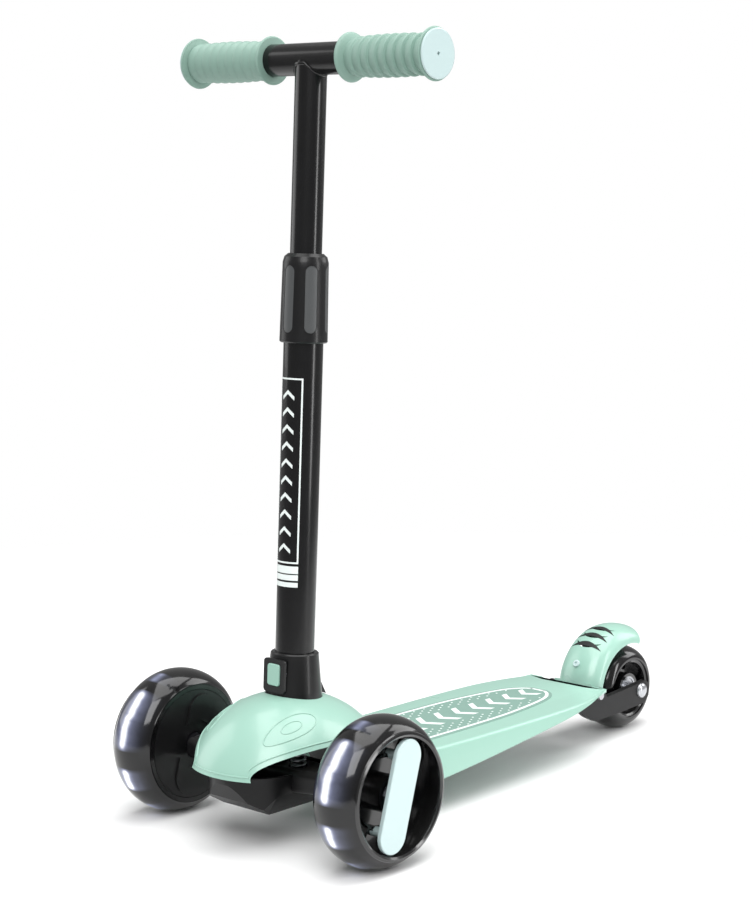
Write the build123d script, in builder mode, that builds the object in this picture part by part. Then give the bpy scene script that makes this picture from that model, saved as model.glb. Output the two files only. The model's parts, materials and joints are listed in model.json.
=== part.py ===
"""Three-wheeled lean-to-steer kick scooter for a small child.

Millimetres. X runs across the scooter (+X is the rider's left), the scooter faces -Y and +Z is up.
The origin is on the ground, midway between the front of the front wheels and the back of the rear wheel.
"""
from math import cos, radians, sin, sqrt, tan
import os

from build123d import *

# ---------------------------------------------------------------- driving dimensions
wheelbase = 465.0
track = 228.0  # between the middle planes of the front wheels
front_wheel_r = 60.0
rear_wheel_r = 40.0

deck_top_z = 57.0
deck_half_width = 62.0
deck_wall = 4.0
skirt_wall = 3.0
deck_bevel = 1.6
skirt_flare_deg = 8.0

stem_rake_deg = 2.7
stem_trail = 18.2  # the stem's axis meets the ground this far behind the front axle
handlebar_height = 618.6
handlebar_half_length = 131.0
lower_tube_r = 15.9
lower_tube_wall = 2.1
upper_tube_r = 12.7
upper_tube_wall = 1.6

# running and assembly clearances
run_gap = 0.03
slide_gap = 0.1
part_gap = 0.4
seat_gap = 0.02

# ---------------------------------------------------------------- layout
front_y = front_wheel_r - (front_wheel_r + wheelbase + rear_wheel_r) / 2
rear_y = front_y + wheelbase
front_z = front_wheel_r
rear_z = rear_wheel_r
deck_under_z = deck_top_z - deck_wall

SIDES = ((1, "left"), (-1, "right"))

rake = radians(stem_rake_deg)
stem_foot_y = front_y + stem_trail
stem_axis_dir = (0, sin(rake), cos(rake))


def on_stem(height):
    """Plane square to the stem's axis. Its X is the scooter's X and its Y points to the rear."""
    y = stem_foot_y + height * sin(rake)
    return Plane(origin=(0, y, height * cos(rake)), x_dir=(1, 0, 0), z_dir=stem_axis_dir)


stem_axis = Axis((0, stem_foot_y, 0), stem_axis_dir)
stem_side = Plane(origin=(0, stem_foot_y, 0), x_dir=(1, 0, 0), z_dir=(0, -cos(rake), sin(rake)))

lean_tilt_deg = 30.0  # the truck's pivot leans forward by this much from upright
lean_tilt = radians(lean_tilt_deg)
lean_dir = (0, -sin(lean_tilt), cos(lean_tilt))
lean_axis = Axis((0, front_y, front_z), lean_dir)


def on_lean(height):
    """Plane square to the truck's pivot, counted from the front axle's line."""
    y = front_y - height * sin(lean_tilt)
    z = front_z + height * cos(lean_tilt)
    return Plane(origin=(0, y, z), x_dir=(1, 0, 0), z_dir=lean_dir)


def cross_plane(y, z):
    """Plane through a cross axis: its X is the scooter's X and its Y is up, so it reads as (x, radius)."""
    return Plane(origin=(0, y, z), x_dir=(1, 0, 0), z_dir=(0, -1, 0))


def side_plane(x=0.0):
    """Plane square to the scooter's X at x. Its X is the scooter's Y and its Y is up."""
    return Plane(origin=(x, 0, 0), x_dir=(0, 1, 0), z_dir=(1, 0, 0))


def turned(points, plane, axis, arc=360.0):
    """Solid turned from a closed outline that lies on a plane through the axis."""
    with BuildPart() as blank:
        with BuildSketch(plane):
            with BuildLine():
                Polyline(*points, close=True)
            make_face()
        revolve(axis=axis, revolution_arc=arc)
    return blank.part


def cross_turned(points, y, z):
    """Solid turned about the cross axis at y, z from (x, radius) points."""
    return turned(points, cross_plane(y, z), Axis((0, y, z), (1, 0, 0)))


def cross_ring(x_from, x_to, r_in, r_out, y, z):
    """Plain ring about a cross axis."""
    points = [(x_from, r_in), (x_to, r_in), (x_to, r_out), (x_from, r_out)]
    return cross_turned(points, y, z)


def stem_ring(s_from, s_to, r_in, r_out):
    """Plain ring about the stem's axis."""
    points = [(r_in, s_from), (r_out, s_from), (r_out, s_to), (r_in, s_to)]
    return turned(points, stem_side, stem_axis)


def lean_ring(s_from, s_to, r_in, r_out):
    """Plain ring about the truck's pivot."""
    with BuildPart() as ring:
        with BuildSketch(on_lean(s_from)):
            Circle(r_out)
            if r_in > 0:
                Circle(r_in, mode=Mode.SUBTRACT)
        extrude(amount=s_to - s_from)
    return ring.part


def pan_screw(plane, length, shank_r, head_r, head_height):
    """Pan-head screw. The head's seat is on the plane and the shank runs along its +Z."""
    with BuildPart() as screw:
        with BuildSketch(plane):
            Circle(shank_r)
        extrude(amount=length)
        with BuildSketch(plane):
            Circle(head_r)
        extrude(amount=-head_height)
        crown = screw.faces().sort_by(Axis(plane.origin, plane.z_dir))[0]
        fillet(crown.edges(), head_height * 0.4)
        with BuildSketch(plane.offset(-head_height)):
            RegularPolygon(head_r * 0.5, 6)
        extrude(amount=head_height * 0.6, mode=Mode.SUBTRACT)
    return screw.part


def coil(plane, free_length, coil_r, wire_r, turns):
    """Coil spring whose axis is the plane's Z."""
    pitch = (free_length - 2 * wire_r) / turns
    path = Helix(pitch=pitch, height=pitch * turns, radius=coil_r, center=(0, 0, wire_r))
    with BuildPart(mode=Mode.PRIVATE) as spring:
        with BuildSketch(Plane(origin=path @ 0, z_dir=path % 0)):
            Circle(wire_r)
        sweep(path=path, is_frenet=True)
    return plane * spring.part


def save(builder, name):
    """Labels a finished piece and writes it as its own STEP."""
    builder.part.label = name
    export_step(builder.part, f"parts/{name}.step")


os.makedirs("parts", exist_ok=True)

# ================================================================ truck: rocking front axle
truck_wall = 3.5
belly_half_width = 40.0
belly_floor_z = 29.5
belly_top_z = 62.0
belly_nose = 57.0  # reach ahead of the axle
belly_tail = 30.0
arm_end_x = track / 2 - 28.0
arm_top_z = front_z + 5.0
pivot_hub_r = 13.0
pivot_bolt_r = 5.0
pivot_bush_r = 7.5
pivot_hub_low = -17.0
pivot_hub_high = 13.5
lug_low = 18.0
lug_high = 36.0
lug_r = 14.0
nut_room_r = 11.0
spring_x = 30.0
spring_seat_z = front_z - 3.0
spring_r = 5.5
spring_wire_r = 1.0
stub_r = 5.0
stub_depth = 30.0


def belly(inset, top_z):
    """Boat-shaped middle of the truck, smaller all round by inset."""
    half = belly_half_width - inset
    floor = belly_floor_z + inset
    nose = front_y - belly_nose + inset
    tail = front_y + belly_tail - inset
    with BuildPart(mode=Mode.PRIVATE) as form:
        with BuildSketch(side_plane()):
            with BuildLine():
                Polyline(
                    (nose, top_z),
                    (nose, belly_top_z - 6),
                    (nose + 7, front_z - 18),
                    (nose + 27, floor),
                    (tail - 12, floor),
                    (tail, front_z - 16),
                    (tail, top_z),
                    close=True,
                )
            make_face()
        extrude(amount=half, both=True)
        with BuildSketch(Plane.XZ.offset(-front_y)):
            with BuildLine():
                Polyline(
                    (-half, top_z + 1),
                    (-half, belly_top_z),
                    (-half + 4, front_z - 14),
                    (-half + 14, floor),
                    (half - 14, floor),
                    (half - 4, front_z - 14),
                    (half, belly_top_z),
                    (half, top_z + 1),
                    close=True,
                )
            make_face()
        extrude(amount=belly_nose + belly_tail, both=True, mode=Mode.INTERSECT)
        with BuildSketch(Plane.XY):
            with Locations((0, front_y - 12)):
                Ellipse(half, belly_nose - 12 - inset)
            with Locations((0, (front_y - 12 + tail) / 2)):
                Rectangle(2 * half, tail - front_y + 12)
        extrude(amount=2 * front_z, mode=Mode.INTERSECT)
    return form.part


with BuildPart() as truck_beam:
    add(belly(0, belly_top_z))
    fillet(truck_beam.edges().group_by(Axis.Z)[0], 4)
    add(belly(truck_wall, belly_top_z + 20), mode=Mode.SUBTRACT)
    # the bar that carries both stub axles, waisted towards its ends
    for sign, _ in SIDES:
        for x, low, high, reach in (
            (0, front_z - 14, arm_top_z, 18),
            (sign * belly_half_width, front_z - 13, arm_top_z, 18),
            (sign * arm_end_x, front_z - 9, front_z + 8, 14),
        ):
            with BuildSketch(side_plane(x)):
                with Locations((front_y, (low + high) / 2)):
                    RectangleRounded(2 * reach, high - low, 5)
        loft(ruled=True)
    add(lean_ring(pivot_hub_low, pivot_hub_high, 0, pivot_hub_r))
    add(lean_ring(pivot_hub_high, pivot_hub_high + 30, 0, pivot_hub_r + 1), mode=Mode.SUBTRACT)
    add(lean_ring(pivot_hub_low - 14, pivot_hub_low, 0, pivot_hub_r + 1), mode=Mode.SUBTRACT)
    add(lean_ring(pivot_hub_low, pivot_hub_high, 0, pivot_bush_r), mode=Mode.SUBTRACT)
    for sign, _ in SIDES:
        with BuildSketch(Plane.XY.offset(spring_seat_z)):
            with Locations((sign * spring_x, front_y - 2)):
                Circle(spring_r + spring_wire_r + 1)
        extrude(amount=20, mode=Mode.SUBTRACT)
        with BuildSketch(side_plane(sign * arm_end_x)):
            with Locations((front_y, front_z)):
                Circle(stub_r + seat_gap)
        extrude(amount=-sign * stub_depth, mode=Mode.SUBTRACT)
save(truck_beam, "truck_beam")

with BuildPart() as truck_bushes:
    add(lean_ring(pivot_hub_low, -2, pivot_bolt_r + run_gap, pivot_bush_r))
    add(lean_ring(2, pivot_hub_high, pivot_bolt_r + run_gap, pivot_bush_r))
save(truck_bushes, "truck_bushes")

with BuildPart() as pivot_washers:
    add(lean_ring(pivot_hub_low - 2, pivot_hub_low - 0.2, pivot_bolt_r + run_gap, pivot_hub_r - 1))
    add(lean_ring(pivot_hub_high + 0.2, lug_low, pivot_bolt_r + run_gap, pivot_hub_r - 1))
save(pivot_washers, "pivot_washers")

pivot_head_low = pivot_hub_low - 2 - 6.5
with BuildPart() as pivot_bolt:
    with BuildSketch(on_lean(pivot_head_low)):
        RegularPolygon(9.2, 6)
    extrude(amount=6.5)
    with BuildSketch(on_lean(pivot_head_low)):
        Circle(pivot_bolt_r)
    extrude(amount=lug_high + 11 - pivot_head_low)
    chamfer(pivot_bolt.edges().sort_by(lean_axis)[-1], 0.8)
save(pivot_bolt, "pivot_bolt")

with BuildPart() as pivot_nut:
    with BuildSketch(on_lean(lug_high)):
        RegularPolygon(9.2, 6)
        Circle(pivot_bolt_r + seat_gap, mode=Mode.SUBTRACT)
    extrude(amount=8.5)
save(pivot_nut, "pivot_nut")

# ================================================================ front wheels
wheel_x = track / 2
hub_half = 22.0
tyre_depth = 11.0  # from the tread's crown to the tyre's seat on the hub
hub_rim_r = front_wheel_r - tyre_depth
rim_wall = 3.5
lip_reach = 24.0
tyre_half = 22.0
tyre_bulge = 14.0
bearing_r = 11.0
bearing_width = 7.0
bearing_bore_r = 4.0
inner_bearing_x = wheel_x - 20.0
outer_bearing_x = wheel_x + 7.0
web_x = wheel_x - 2.0
axle_shoulder_r = 6.0
axle_end_x = outer_bearing_x + bearing_width + 5.2
axle_nut_height = 4.6
cover_r = hub_rim_r - rim_wall - part_gap
cover_hole_r = 10.0
cover_wall = 1.8
bar_end_gap = 4.2  # from each end of the hub bar to the hub's rim
bar_length = 2 * (hub_rim_r - bar_end_gap)
bar_width = 29.0
bar_tilt_deg = 16.7
bar_thickness = 3.6
bar_face_x = wheel_x + 23.4
relief_thickness = 1.6


def tyre_outline(half, bulge, tread_r, seat_r, middle_x, steps=14):
    """Closed (x, radius) outline of a tyre: a half ellipse for the tread, flat on its seat."""
    base_r = tread_r - bulge
    crown = []
    for i in range(steps + 1):
        u = -1 + 2 * i / steps
        x = half * sin(u * radians(90))
        crown.append((middle_x + x, base_r + bulge * sqrt(max(0.0, 1 - (x / half) ** 2))))
    return [(middle_x - half, seat_r), *crown[1:-1], (middle_x + half, seat_r)]


def bearing_pair(x_starts, y, z):
    """Two sealed ball bearings: outer ring, seal and inner ring of each."""
    rings = []
    for x in x_starts:
        rings.append(cross_ring(x, x + bearing_width, bearing_r - 1.9, bearing_r, y, z))
        rings.append(cross_ring(x + 0.6, x + bearing_width - 0.6, 6.1, bearing_r - 2.0, y, z))
        rings.append(
            cross_ring(x, x + bearing_width, bearing_bore_r + run_gap, axle_shoulder_r, y, z)
        )
    return rings


def tread_solid(half, bulge, tread_r, seat_r, middle_x, y, z):
    """Tyre with a smoothly crowned tread."""
    points = tyre_outline(half, bulge, tread_r, seat_r, middle_x)
    with BuildPart(mode=Mode.PRIVATE) as tyre:
        with BuildSketch(cross_plane(y, z)):
            with BuildLine():
                Spline(*points[1:-1])
                Polyline(points[-2], points[-1], points[0], points[1])
            make_face()
        revolve(axis=Axis((0, y, z), (1, 0, 0)))
    return tyre.part


def stadium_bar(plane, thickness, edge):
    """Round-ended bar standing on a plane square to the axle, with a softened front edge."""
    with BuildPart(mode=Mode.PRIVATE) as bar:
        with BuildSketch(plane):
            SlotOverall(bar_length, bar_width, rotation=90 - bar_tilt_deg)
        extrude(amount=thickness)
        if edge > 0:
            front = bar.faces().sort_by(Axis(plane.origin, plane.z_dir))[-1]
            fillet(front.edges(), edge)
    return bar.part


for sign, side in SIDES:
    flip = Plane.YZ
    with BuildPart() as tyre:
        add(tread_solid(tyre_half, tyre_bulge, front_wheel_r, hub_rim_r, wheel_x, front_y, front_z))
        if sign < 0:
            mirror(about=flip, mode=Mode.REPLACE)
    save(tyre, f"{side}_tyre")

    with BuildPart() as hub:
        lip_r = hub_rim_r - rim_wall
        outer = wheel_x + hub_half
        inner = wheel_x - hub_half
        points = [
            (inner, hub_rim_r - seat_gap),
            (inner, lip_r),
            (web_x, lip_r),
            (web_x, 15),
            (inner_bearing_x, 15),
            (inner_bearing_x, bearing_r + seat_gap),
            (inner_bearing_x + bearing_width, bearing_r + seat_gap),
            (inner_bearing_x + bearing_width, bearing_r - 2),
            (outer_bearing_x, bearing_r - 2),
            (outer_bearing_x, bearing_r + seat_gap),
            (outer_bearing_x + bearing_width, bearing_r + seat_gap),
            (outer_bearing_x + bearing_width, 15),
            (web_x + 4, 15),
            (web_x + 4, 26),
            (web_x + 6, 27),
            (web_x + 6, 29),
            (web_x + 4, 30),
            (web_x + 4, lip_r),
            (wheel_x + lip_reach - 3, lip_r),
            (wheel_x + lip_reach - 1, lip_r + 0.8),
            (wheel_x + lip_reach, lip_r + 2.5),
            (wheel_x + lip_reach - 0.6, lip_r + 4.5),
            (outer, hub_rim_r + 1.6),
            (outer + 0.0, hub_rim_r - seat_gap),
        ]
        add(cross_turned(points, front_y, front_z))
        if sign < 0:
            mirror(about=flip, mode=Mode.REPLACE)
    save(hub, f"{side}_hub")

    with BuildPart() as hub_bar:
        base = Plane(origin=(bar_face_x - bar_thickness, front_y, front_z), x_dir=(0, 1, 0), z_dir=(1, 0, 0))
        add(stadium_bar(base, bar_thickness, 1.0))
        # two pegs that hold the bar on the hub's web
        for end in (-1, 1):
            reach = end * 30.0
            y = front_y + reach * sin(radians(bar_tilt_deg))
            z = front_z + reach * cos(radians(bar_tilt_deg))
            with BuildSketch(Plane(origin=(web_x + 4, y, z), x_dir=(0, 1, 0), z_dir=(1, 0, 0))):
                Circle(4)
            extrude(amount=bar_face_x - bar_thickness - web_x - 4)
        add(cross_ring(web_x, web_x + 7, 0, 30.2, front_y, front_z), mode=Mode.SUBTRACT)
        if sign < 0:
            mirror(about=flip, mode=Mode.REPLACE)
    save(hub_bar, f"{side}_hub_bar")

    with BuildPart() as inner_cover:
        back = wheel_x - hub_half
        add(cross_ring(back, back + cover_wall, cover_hole_r, cover_r, front_y, front_z))
        base = Plane(origin=(back, front_y, front_z), x_dir=(0, 1, 0), z_dir=(-1, 0, 0))
        with BuildSketch(base):
            SlotOverall(bar_length - 6, bar_width, rotation=90 + bar_tilt_deg)
            Circle(20, mode=Mode.SUBTRACT)
        extrude(amount=relief_thickness)
        if sign < 0:
            mirror(about=flip, mode=Mode.REPLACE)
    save(inner_cover, f"{side}_hub_cover")

    with BuildPart() as bearings:
        for ring in bearing_pair((inner_bearing_x, outer_bearing_x), front_y, front_z):
            add(ring)
        if sign < 0:
            mirror(about=flip, mode=Mode.REPLACE)
    save(bearings, f"{side}_wheel_bearings")

    with BuildPart() as spacer:
        between = (inner_bearing_x + bearing_width, outer_bearing_x)
        add(cross_ring(*between, bearing_bore_r + run_gap, axle_shoulder_r, front_y, front_z))
        if sign < 0:
            mirror(about=flip, mode=Mode.REPLACE)
    save(spacer, f"{side}_bearing_spacer")

    # ring-shaped coil and six small lamps just inside the rim
    with BuildPart() as lights:
        coil_x = wheel_x - hub_half + cover_wall + seat_gap
        add(cross_ring(coil_x, coil_x + 9, 15.5, 21, front_y, front_z))
        board = Plane(origin=(coil_x, front_y, front_z), x_dir=(0, 1, 0), z_dir=(1, 0, 0))
        with BuildSketch(board):
            with PolarLocations(lip_r - 3, 6):
                Rectangle(3.4, 9)
        extrude(amount=7)
        if sign < 0:
            mirror(about=flip, mode=Mode.REPLACE)
    save(lights, f"{side}_wheel_lights")

    # stub axle pressed into the truck
    with BuildPart() as axle:
        points = [
            (arm_end_x - stub_depth + 1, 0),
            (arm_end_x - stub_depth + 1, stub_r),
            (arm_end_x + 0.2, stub_r),
            (arm_end_x + 0.2, 8),
            (arm_end_x + 2, 8),
            (arm_end_x + 2, axle_shoulder_r - seat_gap),
            (inner_bearing_x - 0.1, axle_shoulder_r - seat_gap),
            (inner_bearing_x - 0.1, bearing_bore_r),
            (axle_end_x, bearing_bore_r),
            (axle_end_x, 0),
        ]
        add(cross_turned(points, front_y, front_z))
        if sign < 0:
            mirror(about=flip, mode=Mode.REPLACE)
    save(axle, f"{side}_axle")

with BuildPart() as axle_nuts:
    nut_x = outer_bearing_x + bearing_width + 0.2
    for sign, _ in SIDES:
        with BuildSketch(Plane(origin=(sign * nut_x, front_y, front_z), x_dir=(0, 1, 0), z_dir=(sign, 0, 0))):
            RegularPolygon(7.4, 6)
            Circle(bearing_bore_r + seat_gap, mode=Mode.SUBTRACT)
        extrude(amount=axle_nut_height)
save(axle_nuts, "front_axle_nuts")

with BuildPart() as light_magnets:
    for sign, _ in SIDES:
        start = sign * (arm_end_x + 2.5)
        end = sign * (inner_bearing_x - 0.5)
        add(cross_ring(min(start, end), max(start, end), axle_shoulder_r, cover_hole_r - 1, front_y, front_z))
save(light_magnets, "light_magnets")

# ================================================================ front base, under the bonnet
base_low = 80.0  # heights along the stem's axis
base_high = 86.0
base_half_width = 38.0
foot_half_width = 24.0
foot_y = front_y + 68.0
foot_end_y = front_y + 140.0
foot_thickness = 6.0
bonnet_posts = ((29.5, -34.0), (29.5, 34.0))
post_screw_r = 2.0
foot_screw_r = 2.5

with BuildPart() as front_base:
    with BuildSketch(on_stem(base_low)):
        with Locations((0, 6)):
            RectangleRounded(2 * base_half_width, 104, 26)
    extrude(amount=base_high - base_low)
    # riser down to the foot that bolts under the deck
    with BuildSketch(side_plane()):
        with BuildLine():
            Polyline(
                (foot_y - 22, front_z + 20),
                (foot_y, deck_under_z - foot_thickness),
                (foot_end_y, deck_under_z - foot_thickness),
                (foot_end_y, deck_under_z - seat_gap),
                (foot_y + 10, deck_under_z - seat_gap),
                (foot_y - 8, base_low + 1),
                (foot_y - 22, base_low + 3),
                close=True,
            )
        make_face()
    extrude(amount=foot_half_width, both=True)
    add(lean_ring(lug_low, lug_high, 0, lug_r))
    add(lean_ring(lug_low - 1, lug_high + 1, 0, pivot_bolt_r + seat_gap), mode=Mode.SUBTRACT)
    add(lean_ring(lug_low - 6, lug_low, 0, pivot_hub_r + 2), mode=Mode.SUBTRACT)
    add(lean_ring(lug_high, lug_high + 12, 0, nut_room_r), mode=Mode.SUBTRACT)
    with BuildSketch(on_stem(base_low - 1)):
        for x, y in bonnet_posts:
            with Locations((x, y), (-x, y)):
                Circle(post_screw_r + 0.2)
    extrude(amount=base_high - base_low + 2, mode=Mode.SUBTRACT)
    with BuildSketch(Plane.XY.offset(deck_under_z - foot_thickness - 1)):
        with Locations((0, (foot_y + foot_end_y) / 2 + 12)):
            with GridLocations(36, 36, 2, 2):
                Circle(foot_screw_r + 0.2)
    extrude(amount=foot_thickness + 2, mode=Mode.SUBTRACT)
save(front_base, "front_base")

with BuildPart() as lean_springs:
    spring_top = base_low - 0.2
    for sign, _ in SIDES:
        seat = Plane(origin=(sign * spring_x, front_y - 2, spring_seat_z + 0.2))
        add(coil(seat, spring_top - spring_seat_z - 0.2, spring_r, spring_wire_r, 5))
save(lean_springs, "lean_springs")

# ================================================================ stem socket and release button
socket_low = base_high
collar_base = 114.0  # the bonnet's roof meets the collar about here
collar_top = 148.5
collar_base_r = 23.0
collar_top_r = 19.5
socket_bore_r = lower_tube_r + slide_gap
socket_body_r = 19.5
button_s = 132.0
button_half_x = 6.6
button_half_s = 8.8
button_travel = 2.0
button_face = 24.4  # distances in front of the stem's axis
surround_face = 23.2
surround_back = 21.0
pocket_floor = 17.0
tongue_tip = 15.0
tongue_half = 4.0
button_spring_x = 7.6


def stem_front_box(half_x, s_from, s_to, y_front, y_back, corner=0.0):
    """Block on the front of the stem: y distances are counted forward from the stem's axis."""
    middle = (s_from + s_to) / 2
    face = on_stem(middle)
    plane = Plane(origin=face.origin - face.y_dir * y_back, x_dir=(1, 0, 0), z_dir=-face.y_dir)
    with BuildPart(mode=Mode.PRIVATE) as block:
        with BuildSketch(plane):
            if corner > 0:
                RectangleRounded(2 * half_x, s_to - s_from, corner)
            else:
                Rectangle(2 * half_x, s_to - s_from)
        extrude(amount=y_front - y_back)
    return block.part


with BuildPart() as stem_socket:
    points = [
        (0, socket_low),
        (27, socket_low),
        (27, socket_low + 3.5),
        (socket_body_r + 1.5, socket_low + 3.5),
        (socket_body_r + 1.5, collar_base - 12),
        (collar_base_r, collar_base - 8),
        (collar_base_r, collar_base),
        (collar_top_r, collar_top - 1),
        (collar_top_r - 1, collar_top),
        (0, collar_top),
    ]
    add(turned(points, stem_side, stem_axis))
    # stiffening fin behind the collar
    with BuildSketch(side_plane()):
        fin_y = stem_foot_y + collar_base * sin(rake)
        with BuildLine():
            Polyline(
                (fin_y + 12, collar_base + 20),
                (fin_y + collar_top_r, collar_base + 20),
                (fin_y + 38, collar_base - 14),
                (fin_y + 12, collar_base - 14),
                close=True,
            )
        make_face()
    extrude(amount=4.5, both=True)
    # flat and pocket for the release button
    add(stem_front_box(12, button_s - 15, button_s + 13, 40, surround_back), mode=Mode.SUBTRACT)
    pocket = stem_front_box(9.8, button_s - 11, button_s + 11, surround_back + 1, pocket_floor)
    add(pocket, mode=Mode.SUBTRACT)
    tongue_way = stem_front_box(tongue_half + 0.3, button_s - 4.5, button_s + 4.5, pocket_floor + 1, 10)
    add(tongue_way, mode=Mode.SUBTRACT)
    for sign in (-1, 1):
        seat = on_stem(button_s)
        origin = seat.origin - seat.y_dir * 15.5 + Vector(sign * button_spring_x, 0, 0)
        with BuildSketch(Plane(origin=origin, x_dir=(1, 0, 0), z_dir=-seat.y_dir)):
            Circle(1.9)
        extrude(amount=3, mode=Mode.SUBTRACT)
    add(stem_ring(socket_low + 2, collar_top + 1, 0, socket_bore_r), mode=Mode.SUBTRACT)
    with BuildSketch(on_stem(socket_low)):
        with Locations((0, 0)):
            with GridLocations(33, 33, 2, 2):
                Circle(1.7)
    extrude(amount=4, mode=Mode.SUBTRACT)

with BuildPart() as button_surround:
    add(stem_front_box(11.6, button_s - 14.6, button_s + 12.6, surround_face, surround_back + 0.02, 3.0))
    add(
        stem_front_box(
            button_half_x + 0.3, button_s - button_half_s - 0.3, button_s + button_half_s + 0.3, 30, 10, 2.8
        ),
        mode=Mode.SUBTRACT,
    )
save(button_surround, "button_surround")

with BuildPart() as release_button:
    low_s, high_s = button_s - button_half_s, button_s + button_half_s
    add(stem_front_box(button_half_x, low_s, high_s, button_face, 19.5, 2.5))
    cap = release_button.faces().sort_by(Axis.Y)[0]
    fillet(cap.edges(), 0.9)
    add(stem_front_box(9.4, button_s - 10.4, button_s + 10.4, 20.8, 19.4))
    add(stem_front_box(tongue_half, button_s - 4.1, button_s + 4.1, 20, tongue_tip))
save(release_button, "release_button")

with BuildPart() as button_springs:
    for sign in (-1, 1):
        seat = on_stem(button_s)
        origin = seat.origin - seat.y_dir * 15.6 + Vector(sign * button_spring_x, 0, 0)
        add(coil(Plane(origin=origin, x_dir=(1, 0, 0), z_dir=-seat.y_dir), 3.7, 1.3, 0.25, 4))
save(button_springs, "button_springs")

# ================================================================ bonnet
bonnet_y = front_y + 11.0  # the dome's widest section
bonnet_axis_z = 42.5
bonnet_r = 74.5
bonnet_front = 81.0  # reach of the dome ahead of its widest section
bonnet_rear = 96.5
bonnet_wall = 2.8
arch_reach = 62.0
arch_rise = 22.0
arch_z = 63.0


def bonnet_form(grow, low_z):
    """Dome round in every cross-section, drawn out fore and aft, larger all round by grow."""
    big = 4 * bonnet_rear
    with BuildPart(mode=Mode.PRIVATE) as form:
        for reach, direction in ((bonnet_front + grow, -1), (bonnet_rear + grow, 1)):
            with BuildSketch(side_plane()):
                with Locations((bonnet_y, bonnet_axis_z)):
                    Ellipse(reach, bonnet_r + grow)
                with Locations((bonnet_y + direction * big / 2, bonnet_axis_z + big / 2)):
                    Rectangle(big, big, mode=Mode.INTERSECT)
            revolve(axis=Axis((0, bonnet_y, bonnet_axis_z), (0, 1, 0)))
        with BuildSketch(Plane.XY.offset(low_z)):
            with Locations((0, bonnet_y)):
                Rectangle(big, big)
        extrude(amount=-big, mode=Mode.SUBTRACT)
    return form.part


def bonnet_outer():
    return bonnet_form(0, deck_top_z + part_gap)


with BuildPart() as bonnet:
    add(bonnet_outer())
    with BuildPart(mode=Mode.PRIVATE) as posts:
        with BuildSketch(on_stem(base_high + 0.02)):
            for x, y in bonnet_posts:
                with Locations((x, y), (-x, y)):
                    Circle(4.5)
                    Circle(post_screw_r, mode=Mode.SUBTRACT)
        extrude(amount=40)
        add(bonnet_form(-bonnet_wall / 2, deck_top_z), mode=Mode.INTERSECT)
    add(bonnet_form(-bonnet_wall, deck_top_z - 5), mode=Mode.SUBTRACT)
    add(posts.part)
    # wheel-side arches that let the truck rock
    with BuildSketch(side_plane()):
        with Locations((front_y + 4, arch_z)):
            Ellipse(arch_reach, arch_rise)
        with Locations((front_y - 30, arch_z - 20)):
            Rectangle(160, 40)
    extrude(amount=2 * bonnet_r, both=True, mode=Mode.SUBTRACT)
    add(stem_ring(collar_base - 30, collar_base + 30, 0, collar_base_r + part_gap), mode=Mode.SUBTRACT)
save(bonnet, "bonnet")

with BuildPart(mode=Mode.PRIVATE) as above_bonnet:
    add(bonnet_form(part_gap, deck_top_z))
    add(stem_ring(collar_base - 60, collar_base + 60, 0, collar_base_r), mode=Mode.SUBTRACT)
with BuildPart() as socket_done:
    add(stem_socket.part)
    add(above_bonnet.part, mode=Mode.SUBTRACT)
    # keep the flange that stands on the base
    add(stem_ring(socket_low, socket_low + 3.5, socket_bore_r, 27))
    add(lean_ring(lug_low, lug_high + 0.5, 0, lug_r + part_gap), mode=Mode.SUBTRACT)
    add(lean_ring(lug_high, lug_high + 12, 0, nut_room_r), mode=Mode.SUBTRACT)
    with BuildSketch(on_stem(socket_low)):
        with GridLocations(33, 33, 2, 2):
            Circle(1.7)
    extrude(amount=4, mode=Mode.SUBTRACT)
save(socket_done, "stem_socket")

with BuildPart() as bonnet_screws:
    for x, y in bonnet_posts:
        for sign in (-1, 1):
            seat = on_stem(base_low - 0.02)
            corner = seat.origin + seat.y_dir * y + Vector(sign * x, 0, 0)
            place = Plane(origin=corner, x_dir=(1, 0, 0), z_dir=seat.z_dir)
            add(pan_screw(place, 14, post_screw_r - seat_gap, 4, 2.4))
save(bonnet_screws, "bonnet_screws")

# ================================================================ stem: lower tube and clamp
tube_low = socket_low + 2.1
tube_high = 445.0
clamp_low = 412.0
clamp_flange = 2.5
clamp_high = 462.0
clamp_head_r = 15.2
collar_gap = 0.3
twist_low = 397.0
twist_high = 467.5
twist_low_r = 19.2
twist_high_r = 18.3
inset_low = 405.0
inset_high = 458.0
inset_width = 10.0
inset_depth = 1.0

with BuildPart() as lower_tube:
    add(stem_ring(tube_low, tube_high, lower_tube_r - lower_tube_wall, lower_tube_r))
    # open-ended slot for the button's tongue
    add(
        stem_front_box(tongue_half + 0.4, tube_low - 1, button_s + 5.2, 20, 8),
        mode=Mode.SUBTRACT,
    )
save(lower_tube, "lower_tube")

with BuildPart() as clamp_sleeve:
    inner_r = upper_tube_r + slide_gap
    points = [
        (inner_r, clamp_low),
        (lower_tube_r - lower_tube_wall - seat_gap, clamp_low),
        (lower_tube_r - lower_tube_wall - seat_gap, tube_high + seat_gap),
        (lower_tube_r, tube_high + seat_gap),
        (lower_tube_r, tube_high + clamp_flange),
        (clamp_head_r, tube_high + clamp_flange),
        (clamp_head_r - 0.8, clamp_high),
        (inner_r, clamp_high),
    ]
    add(turned(points, stem_side, stem_axis))
    with BuildSketch(on_stem(tube_high + clamp_flange + 1)):
        with PolarLocations(lower_tube_r - 1.5, 6):
            Rectangle(8, 1.4)
    extrude(amount=clamp_high, mode=Mode.SUBTRACT)
save(clamp_sleeve, "clamp_sleeve")


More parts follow.
